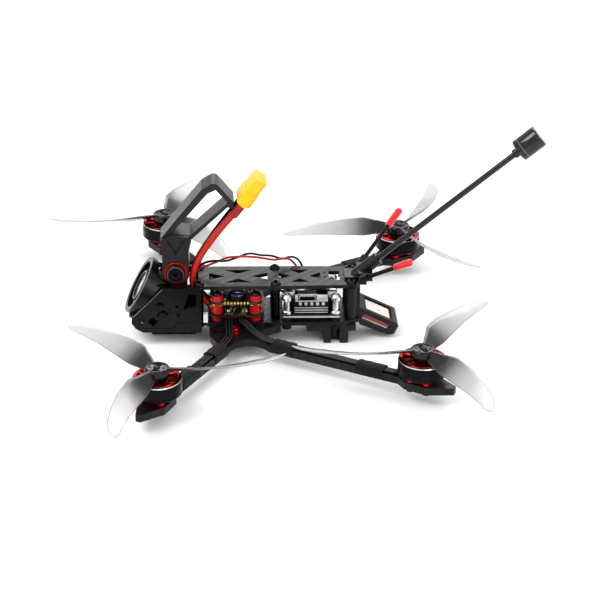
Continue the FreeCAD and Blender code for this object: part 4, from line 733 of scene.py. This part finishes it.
def make_stators():
    """Laminated cores with twelve copper-wound teeth."""
    kit = Kit("wound_cores")
    for name, (x, y) in HUBS.items():
        spot = at(x, y, 0)
        kit.lathe([(3.25, 14.4), (5.6, 14.4), (5.6, 19.8), (3.25, 19.8), (3.25, 14.4)],
                  "laminate", spot, 40)
        for k in range(12):
            place = spot @ Matrix.Rotation(2 * math.pi * k / 12, 4, "Z")
            kit.box((5.4, -0.7, 15.0), (9.9, 0.7, 19.2), "laminate", 0.05, place)
            kit.box((9.5, -2.25, 14.6), (10.5, 2.25, 19.6), "laminate", 0.12, place)
            for j in range(4):
                reach = 5.9 + j * 0.95
                wide = 1.15 + j * 0.14
                kit.box((reach, -wide, 14.45), (reach + 0.9, wide, 19.75), "copper", 0.42, place,
                        3)
    kit.finish("frame", ["stators"])


def make_feet():
    """Four-legged motor feet with pockets, and the bearing tube."""
    kit = Kit("motor_feet_finished")
    for name, (x, y) in HUBS.items():
        spot = at(x, y, 0) @ Matrix.Rotation(arm_turn(name), 4, "Z")
        kit.lathe([(1.56, 10.5), (5.0, 10.5), (5.2, 10.7), (5.2, 12.0), (4.9, 12.2),
                   (3.4, 12.3), (3.2, 13.6), (3.2, 20.3), (3.0, 20.4), (1.56, 20.4)],
                  "red_metal", spot, 40)
        for turn in (45, 135, 225, 315):
            leg = spot @ Matrix.Rotation(math.radians(turn), 4, "Z")
            kit.box((2.6, -2.05, 10.5), (6.2, 2.05, 12.2), "red_metal", 0.35, leg)
            end = leg @ Matrix.Translation((6.0 * MM, 0, 0))
            kit.lathe([(0, 10.5), (2.1, 10.5), (2.3, 10.7), (2.3, 11.9), (2.05, 12.2),
                       (1.15, 12.2), (1.0, 11.9), (0, 11.9)], "red_metal", end, 28)
    kit.finish("frame", ["motor_feet"])


for motor in HUBS:
    make_prop(motor)
    make_bell(motor)
make_stators()
make_feet()


# ------------------------------------------------------------- arms and wrapping
def arm_frame(end, side):
    """Origin at the motor, +X outwards along the arm, mirrored for the right side."""
    hub, root = HUBS[f"{end}_left"], ROOTS[end]
    turn = math.atan2(hub[1] - root[1], hub[0] - root[0])
    place = Matrix.Translation((hub[0] * MM, hub[1] * MM, 0)) @ Matrix.Rotation(turn, 4, "Z")
    return Matrix.Diagonal((side, 1, 1, 1)) @ place


def make_wraps():
    """Cloth tape wound over each arm and its wires, in slanting, overlapping turns."""
    spans = {"front": ((-61.0, -49.5), (-34.0, -18.5)), "rear": ((-82.5, -71.0), (-35.0, -20.0))}
    kit = Kit("tape_wraps")
    half, low, high = 3.75, 6.1, 12.45
    for end, pairs in spans.items():
        for side in (1, -1):
            place = arm_frame(end, side)
            for start, stop in pairs:
                steps, around = 34, 36
                points, faces = [], []
                seed = rng.random() * 9
                for i in range(steps + 1):
                    u = start + (stop - start) * i / steps
                    for k in range(around):
                        a = 2 * math.pi * k / around
                        c, s = math.cos(a), math.sin(a)
                        bulge = (abs(c) ** 5 + abs(s) ** 5) ** (-1 / 5)
                        wide = half * c * bulge
                        tall = (high - low) / 2 * s * bulge
                        turns = (u - start) / 4.2 - a / (2 * math.pi)
                        step = turns - math.floor(turns)
                        lap = 0.16 * (1 - step) ** 3
                        ripple = 0.05 * math.sin(a * 5 + u * 1.3 + seed)
                        swell = 1 + (lap + ripple) / 3.4
                        if s > 0.3:
                            tall -= 0.25 * (abs(c) > 0.45)
                        points.append((u, wide * swell, (low + high) / 2 + tall * swell))
                for i in range(steps):
                    for k in range(around):
                        j = (k + 1) % around
                        a, b = i * around, (i + 1) * around
                        faces.append([a + k, a + j, b + j, b + k])
                for ring, inward in ((0, 1), (steps, -1)):
                    base = len(points)
                    for k in range(around):
                        p = points[ring * around + k]
                        points.append((p[0] + inward * 0.05, p[1] * 0.90,
                                       (low + high) / 2 + (p[2] - (low + high) / 2) * 0.88))
                    for k in range(around):
                        j = (k + 1) % around
                        quad = [ring * around + k, ring * around + j, base + j, base + k]
                        faces.append(quad if inward < 0 else list(reversed(quad)))
                kit.take(points, faces, "cloth", place)
    kit.finish("frame", ["arm_wraps"], sharp=50)


make_wraps()

# ------------------------------------------------------------------- hardware
def rounded_slot(wide, tall, count=24):
    """A stadium outline, wide along x and tall along y."""
    r, points = tall / 2, []
    for k in range(count):
        a = 2 * math.pi * k / count + math.pi / 2
        shift = -(wide / 2 - r) if math.cos(a) < -1e-9 else (wide / 2 - r)
        if abs(math.cos(a)) < 1e-9:
            shift = -(wide / 2 - r) if k == 0 else (wide / 2 - r)
        points.append((shift + r * math.cos(a), r * math.sin(a)))
    return points


def ring_of(kit, outlines, material, place, floor=True):
    """Joins same-length outlines given as (points, height) into walls, closing the last."""
    points, faces, count = [], [], len(outlines[0][0])
    for outline, z in outlines:
        points += [(x, y, z) for x, y in outline]
    for i in range(len(outlines) - 1):
        for k in range(count):
            j = (k + 1) % count
            a, b = i * count, (i + 1) * count
            faces.append([a + k, a + j, b + j, b + k])
    if floor:
        faces.append([len(points) - count + k for k in range(count)])
    kit.take(points, faces, material, place)


def make_screws():
    kit = Kit("roof_screws_finished")
    for x, y in ((9.6, -45.6), (9.6, -5.6), (8.4, 34.2)):
        for side in (1, -1):
            spot = at(side * x, y, 32.5)
            kit.screw(spot, 2.75, 1.65)
            kit.cylinder(1.45, -6.0, 0.02, "screw", spot, 0.1, 16)
    kit.finish("frame", ["roof_screws"])
    kit = Kit("stack_screws_finished")
    for x in (10, -10):
        for y in (-36.2, -16.2):
            spot = at(x, y, 26.8)
            kit.screw(spot, 2.75, 1.65)
            kit.cylinder(1.45, -20.0, 0.02, "screw", spot, 0.1, 16)
    kit.finish("frame", ["stack_screws"])
    kit = Kit("arm_bolts_finished")
    for side in (1, -1):
        spot = at(side * 21.5, -27.0, 10.5)
        kit.lathe([(1.5, -3.9), (1.5, 0.0), (3.05, 0.0), (3.2, 0.15), (3.2, 0.55), (3.05, 0.7),
                   (2.4, 0.72), (2.4, 2.5), (2.1, 2.95), (1.3, 3.0), (1.15, 2.7), (1.15, 1.4),
                   (0, 1.4)], "red_metal", spot, 36)
    kit.finish("frame", ["arm_bolts"])


def make_pivot():
    kit = Kit("pivot_washers")
    for side in (1, -1):
        spot = at(side * 8.5, -57.6, 38.8, (side, 0, 0))
        kit.lathe([(2.56, 0), (5.95, 0), (6.15, 0.15), (6.15, 0.62), (5.95, 0.8), (2.56, 0.8)],
                  "red_metal", spot, 56)
    kit.finish("cradle_body", ["pivot_rings"])
    kit = Kit("pivot_bolt_finished")
    spot = at(9.3, -57.6, 38.8, (1, 0, 0))
    kit.lathe([(2.5, -21.5), (2.5, 0.0), (4.9, 0.0), (5.1, 0.2), (5.1, 1.0), (4.6, 1.65),
               (3.6, 1.98), (2.2, 2.0), (1.75, 1.8), (1.55, 1.75)], "black_metal", spot, 48)
    hexagon = [(1.5 * math.cos(math.pi * k / 3), 1.5 * math.sin(math.pi * k / 3))
               for k in range(6)]
    ring_of(kit, [([(1.04 * x, 1.04 * y) for x, y in hexagon], 1.76), (hexagon, 1.7),
                  (hexagon, 0.5)], "black_metal", spot)
    # Painted highlight: a thin grey ring standing for light caught on the head's chamfer.
    kit.lathe([(4.35, 1.76), (4.25, 1.80), (4.15, 1.86)], "sheen_grey", spot, 48)
    kit.finish("cradle_body", ["pivot_bolt"])


def scatter(kit, x, y, z, count, avoid=(), tall=0.7):
    """Small surface-mount parts strewn squarely over a rectangle."""
    kinds = ["chip", "tan_part", "tin", "tan_part", "chip", "white_plastic", "gold", "red_rubber",
             "green_wire", "tin"]
    placed = []
    for _ in range(count * 6):
        if len(placed) >= count:
            break
        w, d = rng.choice(((1.0, 0.5), (0.5, 1.0), (1.6, 0.8), (0.8, 1.6), (1.4, 1.4), (2.0, 1.2)))
        px, py = rng.uniform(x[0] + 1, x[1] - 1), rng.uniform(y[0] + 1, y[1] - 1)
        rect = (px - w / 2 - 0.2, py - d / 2 - 0.2, px + w / 2 + 0.2, py + d / 2 + 0.2)
        if any(rect[0] < q[2] and rect[2] > q[0] and rect[1] < q[3] and rect[3] > q[1]
               for q in list(placed) + list(avoid)):
            continue
        placed.append(rect)
        high = tall * rng.uniform(0.5, 1.0)
        kind = rng.choice(kinds)
        kit.box((px - w / 2, py - d / 2, z), (px + w / 2, py + d / 2, z + high), kind, 0.06)
        if kind == "tan_part":
            for end in (1, -1):
                if w >= d:
                    kit.box((px + end * w * 0.36 - w * 0.15, py - d / 2 - 0.02, z),
                            (px + end * w * 0.36 + w * 0.15, py + d / 2 + 0.02, z + high + 0.03),
                            "tin", 0.03)


def board_body(kit, half, low, material, holes):
    """A circuit board with clipped corners, with gold ring pads where its screws pass."""
    clip, cy = 3.0, -26.2
    outline = [(half - clip, -half), (half, -half + clip), (half, half - clip),
               (half - clip, half), (-half + clip, half), (-half, half - clip),
               (-half, -half + clip), (-half + clip, -half)]
    for z0, z1, grow, kind in ((low, low + 0.12, -0.05, material),
                               (low + 0.12, low + 1.48, 0.0, "laminate"),
                               (low + 1.48, low + 1.6, -0.05, material)):
        place = at(0, cy, 0)
        ring = [(x * (half + grow) / half, y * (half + grow) / half) for x, y in outline]
        ring_of(kit, [([(0.001 * x, 0.001 * y) for x, y in ring], z0), (ring, z0), (ring, z1),
                      ([(0.001 * x, 0.001 * y) for x, y in ring], z1)], kind, place)
    for x, y in holes:
        for z, out in ((low + 1.6, 1), (low, -1)):
            kit.lathe([(3.3, 0), (3.3, 0.03), (1.7, 0.03)], "gold", at(x, y, z, (0, 0, out)), 24)


def make_boards():
    holes = [(x, y) for x in (10, -10) for y in (-36.2, -16.2)]
    keep = [(x - 3.6, y - 3.6, x + 3.6, y + 3.6) for x, y in holes]
    kit = Kit("speed_controller")
    board_body(kit, 14.6, 15.4, "board", holes)
    for i, (x, y) in enumerate(((-6.6, -34.8), (-6.6, -21.6), (2.2, -34.8), (2.2, -21.6))):
        kit.box((x, y, 17.0), (x + 4.4, y + 4.0, 18.1), "chip", 0.1)
        for k in range(4):
            kit.box((x + 0.3 + k * 1.05, y - 0.35, 17.0), (x + 0.8 + k * 1.05, y, 17.3), "tin", 0.03)
        keep.append((x - 0.5, y - 0.8, x + 4.9, y + 4.5))
    for x in (5.0, 0.9):
        kit.box((x - 2.0, -40.4, 17.0), (x + 2.0, -37.6, 17.25), "gold", 0.05)
        kit.lathe([(2.05, 0), (2.0, 0.7), (1.9, 1.3), (1.78, 1.7), (0, 1.75)], "tin",
                  at(x, -39.2, 17.2), 24)
        keep.append((x - 2.6, -41, x + 2.6, -37))
    for side in (1, -1):
        for y in (-31.8, -30.2, -28.6, -25.0, -23.4, -21.8):
            low, high = sorted((side * 12.4, side * 14.5))
            kit.box((low, y - 0.6, 17.0), (high, y + 0.6, 17.18), "gold", 0.05)
            kit.box((low, y - 0.5, 15.2), (high, y + 0.5, 15.42), "tin", 0.08)
    keep += [(12.0, -32.6, 15, -20.9), (-15, -32.6, -12.0, -20.9)]
    scatter(kit, (-14.4, 14.4), (-40.6, -11.8), 17.0, 150, keep, 1.0)
    kit.finish("frame", ["esc_board"])

    keep = [(x - 3.6, y - 3.6, x + 3.6, y + 3.6) for x, y in holes]
    kit = Kit("flight_controller")
    board_body(kit, 13.6, 22.4, "board", holes)
    kit.box((-5.5, -30.0, 24.0), (0.5, -24.0, 25.1), "chip", 0.12)
    kit.cylinder(0.35, 25.08, 25.13, "tin", at(-4.7, -29.2, 0), 0.02, 12)
    for k in range(12):
        for y in (-30.3, -23.95):
            kit.box((-5.3 + k * 0.5, y, 24.0), (-5.1 + k * 0.5, y + 0.3, 24.2), "tin", 0.02)
    kit.box((-6.0, -38.4, 24.0), (-0.8, -35.0, 26.8), "white_plastic", 0.2)
    kit.box((-5.6, -38.45, 24.8), (-1.2, -37.6, 26.0), "matt_black", 0.05)
    keep += [(-6.2, -31, 1.2, -23), (-6.6, -39, -0.2, -34.4), (2, -31, 12.4, -20.6)]
    for side in (1, -1):
        for k in range(8):
            y = -32.2 + k * 1.72
            low, high = sorted((side * 12.0, side * 13.66))
            kit.box((low, y - 0.5, 22.34), (high, y + 0.5, 24.05), "gold", 0.08)
    for k in range(6):
        x = -5.0 + k * 1.9
        kit.box((x - 0.5, -13.9, 22.36), (x + 0.5, -12.55, 24.05), "gold", 0.08)
    keep += [(11.6, -33.2, 14, -19.4), (-14, -33.2, -11.6, -19.4), (-6, -14.2, 6, -12)]
    scatter(kit, (-13.4, 13.4), (-39.6, -12.8), 24.0, 130, keep, 1.1)
    scatter(kit, (-13.4, 13.4), (-39.6, -12.8), 21.6, 90, keep, 0.8)
    for side in (1, -1):
        for y in (-38.0, -34.0, -18.2, -14.6):
            kind = rng.choice(("white_plastic", "tan_part", "green_wire"))
            low, high = sorted((side * 11.6, side * 13.2))
            kit.box((low, y - 0.6, 21.7), (high, y + 0.6, 22.4), kind, 0.08)
    kit.finish("frame", ["fc_board"])

    kit = Kit("beeper_finished")
    spot = at(7.2, -25.8, 24.0)
    kit.lathe([(0, 0), (4.7, 0), (4.8, 0.15), (4.8, 2.2), (4.65, 2.5)], "black_metal", spot, 40)
    kit.lathe([(4.65, 2.5), (4.4, 3.0), (3.4, 3.55), (1.8, 3.78), (0, 3.8)], "iridescent", spot,
              40)
    kit.finish("frame", ["beeper"])


def make_video_unit():
    """Finned silver transmitter with a data socket, on corner spools."""
    kit = Kit("video_transmitter")
    kit.box((-14.9, -1.9, 15.1), (14.9, 27.9, 16.3), "silver", 0.3)
    kit.box((-14.3, 2.2, 16.25), (14.3, 23.8, 17.3), "matt_black", 0.2)
    kit.box((-12.4, 3.6, 17.2), (12.4, 22.4, 24.6), "matt_black", 0.2)
    for k, z in enumerate((17.5, 18.75, 20.0)):
        kit.box((-13.9 + 0.3 * k, 4.2, z), (13.9 - 0.3 * k, 21.8, z + 0.6), "silver", 0.2)
    kit.box((-13.6, 5.0, 21.4), (13.6, 21.0, 24.4), "black_plastic", 0.3)
    for k in range(5):
        kit.box((13.3, 6.4 + 3.0 * k, 21.9), (13.72, 8.0 + 3.0 * k, 23.7), "tin", 0.1)
    kit.box((-10.2, -0.6, 24.3), (10.2, 4.6, 28.2), "silver", 0.5)
    kit.box((-10.2, 21.4, 24.3), (10.2, 26.6, 28.2), "silver", 0.5)
    kit.box((-9.6, 0.4, 17.0), (9.6, 25.6, 24.4), "matt_black", 0.2)
    kit.box((-14.4, 4.4, 24.4), (9.4, 21.6, 28.7), "silver", 0.45)
    kit.box((9.3, 4.4, 28.0), (14.4, 21.6, 28.7), "silver", 0.3)
    kit.box((9.3, 4.4, 24.4), (14.4, 21.6, 25.0), "silver", 0.25)
    kit.box((9.3, 4.4, 24.4), (14.4, 6.0, 28.7), "silver", 0.3)
    kit.box((9.3, 15.6, 24.4), (14.4, 21.6, 28.7), "silver", 0.3)
    for k in range(4):
        kit.box((14.30, 16.4 + k * 1.25, 25.3), (14.55, 17.0 + k * 1.25, 27.8), "silver", 0.1)
    # Painted shade: seven thin black strips lying on the top stand for heat-sink slots, dark where
    # the slots would be shaded.
    for k in range(7):
        kit.box((-13.2 + k * 3.2, 5.4, 28.68), (-12.2 + k * 3.2, 20.6, 28.74), "matt_black", 0.02)
    spot = at(14.35, 10.8, 26.5, (1, 0, 0))
    ring_of(kit, [(rounded_slot(9.0, 3.0), -4.9), (rounded_slot(9.0, 3.0), 0.12),
                  (rounded_slot(8.8, 2.8), 0.2), (rounded_slot(8.3, 2.3), 0.2),
                  (rounded_slot(8.2, 2.2), 0.0), (rounded_slot(8.2, 2.2), -3.6)], "bright",
            spot, False)
    ring_of(kit, [(rounded_slot(8.25, 2.25), -3.5), (rounded_slot(8.0, 2.0), -3.4)], "matt_black",
            spot)
    kit.box((-3.2, -0.35, -3.5), (3.2, 0.35, -0.6), "matt_black", 0.1, spot)
    kit.box((-14.0, 5.4, 27.8), (-12.2, 11.0, 30.4), "white_plastic", 0.2)
    for k, y in enumerate((2.0, 24.2)):
        kit.cylinder(0.9, 24.6, 28.9, "gold", at(5.0 - 9 * k, y, 0), 0.1, 18)
        kit.cylinder(1.4, 28.1, 28.8, "gold", at(5.0 - 9 * k, y, 0), 0.1, 18)
    kit.finish("frame", ["video_unit"])

    kit = Kit("video_spools")
    for x in (12.75, -12.75):
        for y in (0.25, 25.75):
            spot = at(x, y, 0)
            kit.lathe([(1.05, 12.5), (2.3, 12.5), (2.4, 12.6), (2.4, 15.0), (2.3, 15.1),
                       (1.05, 15.1)], "matt_black", spot, 28)
            kit.lathe([(1.05, 17.3), (2.55, 17.3), (2.7, 17.45), (2.7, 18.7), (2.5, 18.9),
                       (1.75, 19.2), (1.75, 24.4), (2.5, 24.8), (2.7, 25.0), (2.7, 26.9),
                       (2.5, 27.1), (1.2, 27.2)], "bright", spot, 28)
            kit.screw(at(x, y, 27.15), 2.1, 1.0, "tin")
            kit.cylinder(1.0, 13.0, 27.2, "screw", spot, 0.05, 14)
    kit.finish("frame", ["video_posts"])


def make_locator():
    kit = Kit("locator")
    place = at(0, 37.4, 18.9) @ Matrix.Rotation(math.radians(-26), 4, "X")
    kit.box((-7.8, 4.6, -6.4), (7.8, 22.2, -5.0), "tin", 0.15, place)
    kit.box((-7.8, 4.6, -5.05), (7.8, 22.2, -3.0), "brown_part", 0.12, place)
    kit.box((-6.7, 5.6, -3.05), (6.7, 21.0, -1.0), "brown_part", 0.3, place)
    kit.box((-6.1, 6.3, -1.05), (6.1, 20.3, -0.86), "ceramic", 0.08, place)
    kit.lathe([(0.9, -0.88), (0.75, -0.62), (0, -0.55)], "bright",
              place @ Matrix.Translation((0.0012, 0.0142, 0)), 18)
    kit.finish("frame", ["gps_module"])


def make_camera_look():
    axis = (0, -math.cos(math.radians(28.5)), math.sin(math.radians(28.5)))
    spot = at(0, -65.9, 22.2, axis)
    kit = Kit("flight_camera_body")
    kit.box((-8.5, -8.5, -4.2), (8.5, 8.5, 7.25), "black_plastic", 0.6, spot, 3)
    kit.lathe([(8.0, 7.2), (11.3, 7.2), (11.6, 7.5), (11.6, 10.5), (11.3, 10.9), (10.6, 11.2),
               (9.4, 11.2), (9.1, 10.7), (8.4, 10.6), (8.4, 12.1), (8.15, 12.4), (7.5, 12.4),
               (7.25, 12.1), (7.25, 10.3), (0, 10.3)], "gloss_black", spot, 64)
    for k in range(36):
        turn = spot @ Matrix.Rotation(2 * math.pi * k / 36, 4, "Z")
        kit.box((8.3, -0.2, 10.7), (8.55, 0.2, 12.0), "black_plastic", 0.05, turn)
    kit.box((-6.0, -6.0, -4.9), (6.0, 6.0, -4.1), "board", 0.2, spot)
    kit.finish("flight_camera", ["fpv_camera"])
    kit = Kit("lens")
    kit.lathe([(7.18, 10.4), (7.18, 11.5), (6.9, 11.75), (6.3, 11.4), (5.6, 11.2)],
              "gloss_black", spot, 56)
    kit.lathe([(5.7, 11.18), (5.55, 11.35), (5.35, 11.2)], "bright", spot, 56)
    kit.lathe([(5.4, 11.1), (4.6, 11.55), (3.4, 11.85), (1.8, 12.02), (0, 12.08)], "lens", spot,
              48)
    kit.finish("flight_camera", ["camera_glass"])


def make_nose_ridges_and_highlights():
    """Fine lines on the nose: grey rings round its ring and a grey line down each side plate's front
    edge are painted highlights, light caught on those edges; black raised lines, a rib and small
    bosses run along the side plates.
    """
    axis = (0, -math.cos(math.radians(28.5)), math.sin(math.radians(28.5)))
    spot = at(0, -65.9, 22.2, axis)
    kit = Kit("nose_lines")
    # Painted highlight: two grey rings standing for light on the rims round the nose ring.
    for reach, ahead, thick in ((15.62, 12.75, 0.26), (13.35, 12.78, 0.20)):
        ring = [(reach * math.cos(2 * math.pi * k / 96), reach * math.sin(2 * math.pi * k / 96),
                 ahead) for k in range(97)]
        kit.tube(ring, thick, "sheen_grey", spot, 8, False)
    for side in (1, -1):
        x = side * 14.25
        edge = [(x, -64.6, 32.2), (x, -67.4, 29.2), (x, -73.8, 22.4), (x, -80.2, 15.9),
                (x, -80.6, 12.8), (x, -78.7, 9.7), (x, -75.0, 7.4), (x, -70.0, 7.1),
                (x, -45.0, 7.1)]
        # Painted highlight: a grey line standing for light on the side plate's front edge.
        kit.tube(edge[:5], 0.24, "sheen_grey", None, 8)
        kit.tube(edge[3:], 0.30, "moulded", None, 8)
        ledge = [(x, -77.2, 10.2), (x, -74.4, 9.2), (x, -59.4, 9.2), (x, -56.4, 12.2),
                 (x, -46.2, 12.2)]
        kit.tube(ledge, 0.42, "moulded", None, 8)
        kit.box((min(x, x - side * 0.6), -46.6, 9.0), (max(x, x - side * 0.6), -44.9, 31.0),
                "moulded", 0.2)
        for y, z in ((-57.4, 22.0), (-56.8, 17.0)):
            kit.lathe([(1.6, 0), (1.6, 0.25), (1.35, 0.4), (0.85, 0.4), (0.8, 0.0)], "moulded",
                      at(side * 14.2, y, z, (side, 0, 0)), 24)
    kit.finish("frame")


def make_mast():
    kit = Kit("mast_head_finished")
    rise = math.radians(40.5)
    axis = (0, math.cos(rise), math.sin(rise))
    spot = at(0, 36.6, 32.6, axis)
    start = 5 + 103.5
    kit.lathe([(1.6, start - 3.4), (2.2, start - 3.4), (2.45, start - 3.1), (2.45, start - 1.2),
               (3.0, start - 0.5), (5.4, start - 0.4), (5.9, start - 0.1), (6.0, start + 0.4),
               (6.0, start + 12.2), (5.8, start + 12.8), (5.2, start + 13.2), (0, start + 13.3)],
              "piano", spot, 56)
    kit.lathe([(6.03, start + 2.6), (6.03, start + 2.9)], "sheen_grey", spot, 56)
    kit.finish("frame", ["mast_head"])


def make_caps():
    """Rounded red boots on the ends of the receiver's aerials."""
    kit = Kit("aerial_boots")
    root, run = Vector((9.0, 39.6, 34.8)), Vector((23.7, 23.0, 21.3))
    reach = run.length
    for side in (1, -1):
        spot = at(side * root.x, root.y, root.z, (side * run.x, run.y, run.z))
        low, high = 0.68 * reach, reach
        profile = [(1.15, low), (1.75, low), (1.95, low + 0.2), (2.0, high - 2.0)]
        profile += [(2.0 * math.cos(math.radians(a)), high - 2.0 + 2.0 * math.sin(math.radians(a)))
                    for a in (15, 30, 45, 60, 75)] + [(0, high)]
        kit.lathe(profile, "red_gloss", spot, 36)
    kit.finish("frame", ["aerial_caps"])


make_caps()
make_screws()
make_pivot()
make_boards()
make_video_unit()
make_locator()
make_camera_look()
make_nose_ridges_and_highlights()
make_mast()

dress("carbon", "arms_left", "arms_right", "deck_plate", bevel=0.35)
dress("carbon_edge_highlight", "roof_plate", bevel=0.4)
dress("moulded", "side_plate_left", "side_plate_right", bevel=0.35)
dress("black_wire", "motor_wires_front", "motor_wires_rear")
dress("black_metal", "posts", bevel=0.2)
dress("screw", "camera_pivot_screws", "camera_slot_screws", "motor_screws", "video_screws",
      "deck_screws", "pivot_nut")
dress("printed", "tail_foot", "gps_holder", "aerial_holder", bevel=0.3)
dress("moulded", "nose_housing", bevel=0.3)
dress("printed_x", "cradle", bevel=0.4)
dress("piano", "mast")
dress("black_plastic", "receiver_aerials")
dress("red_rubber", "soft_pillars", bevel=0.3)
dress("white_plastic", "esc_plug", bevel=0.15)
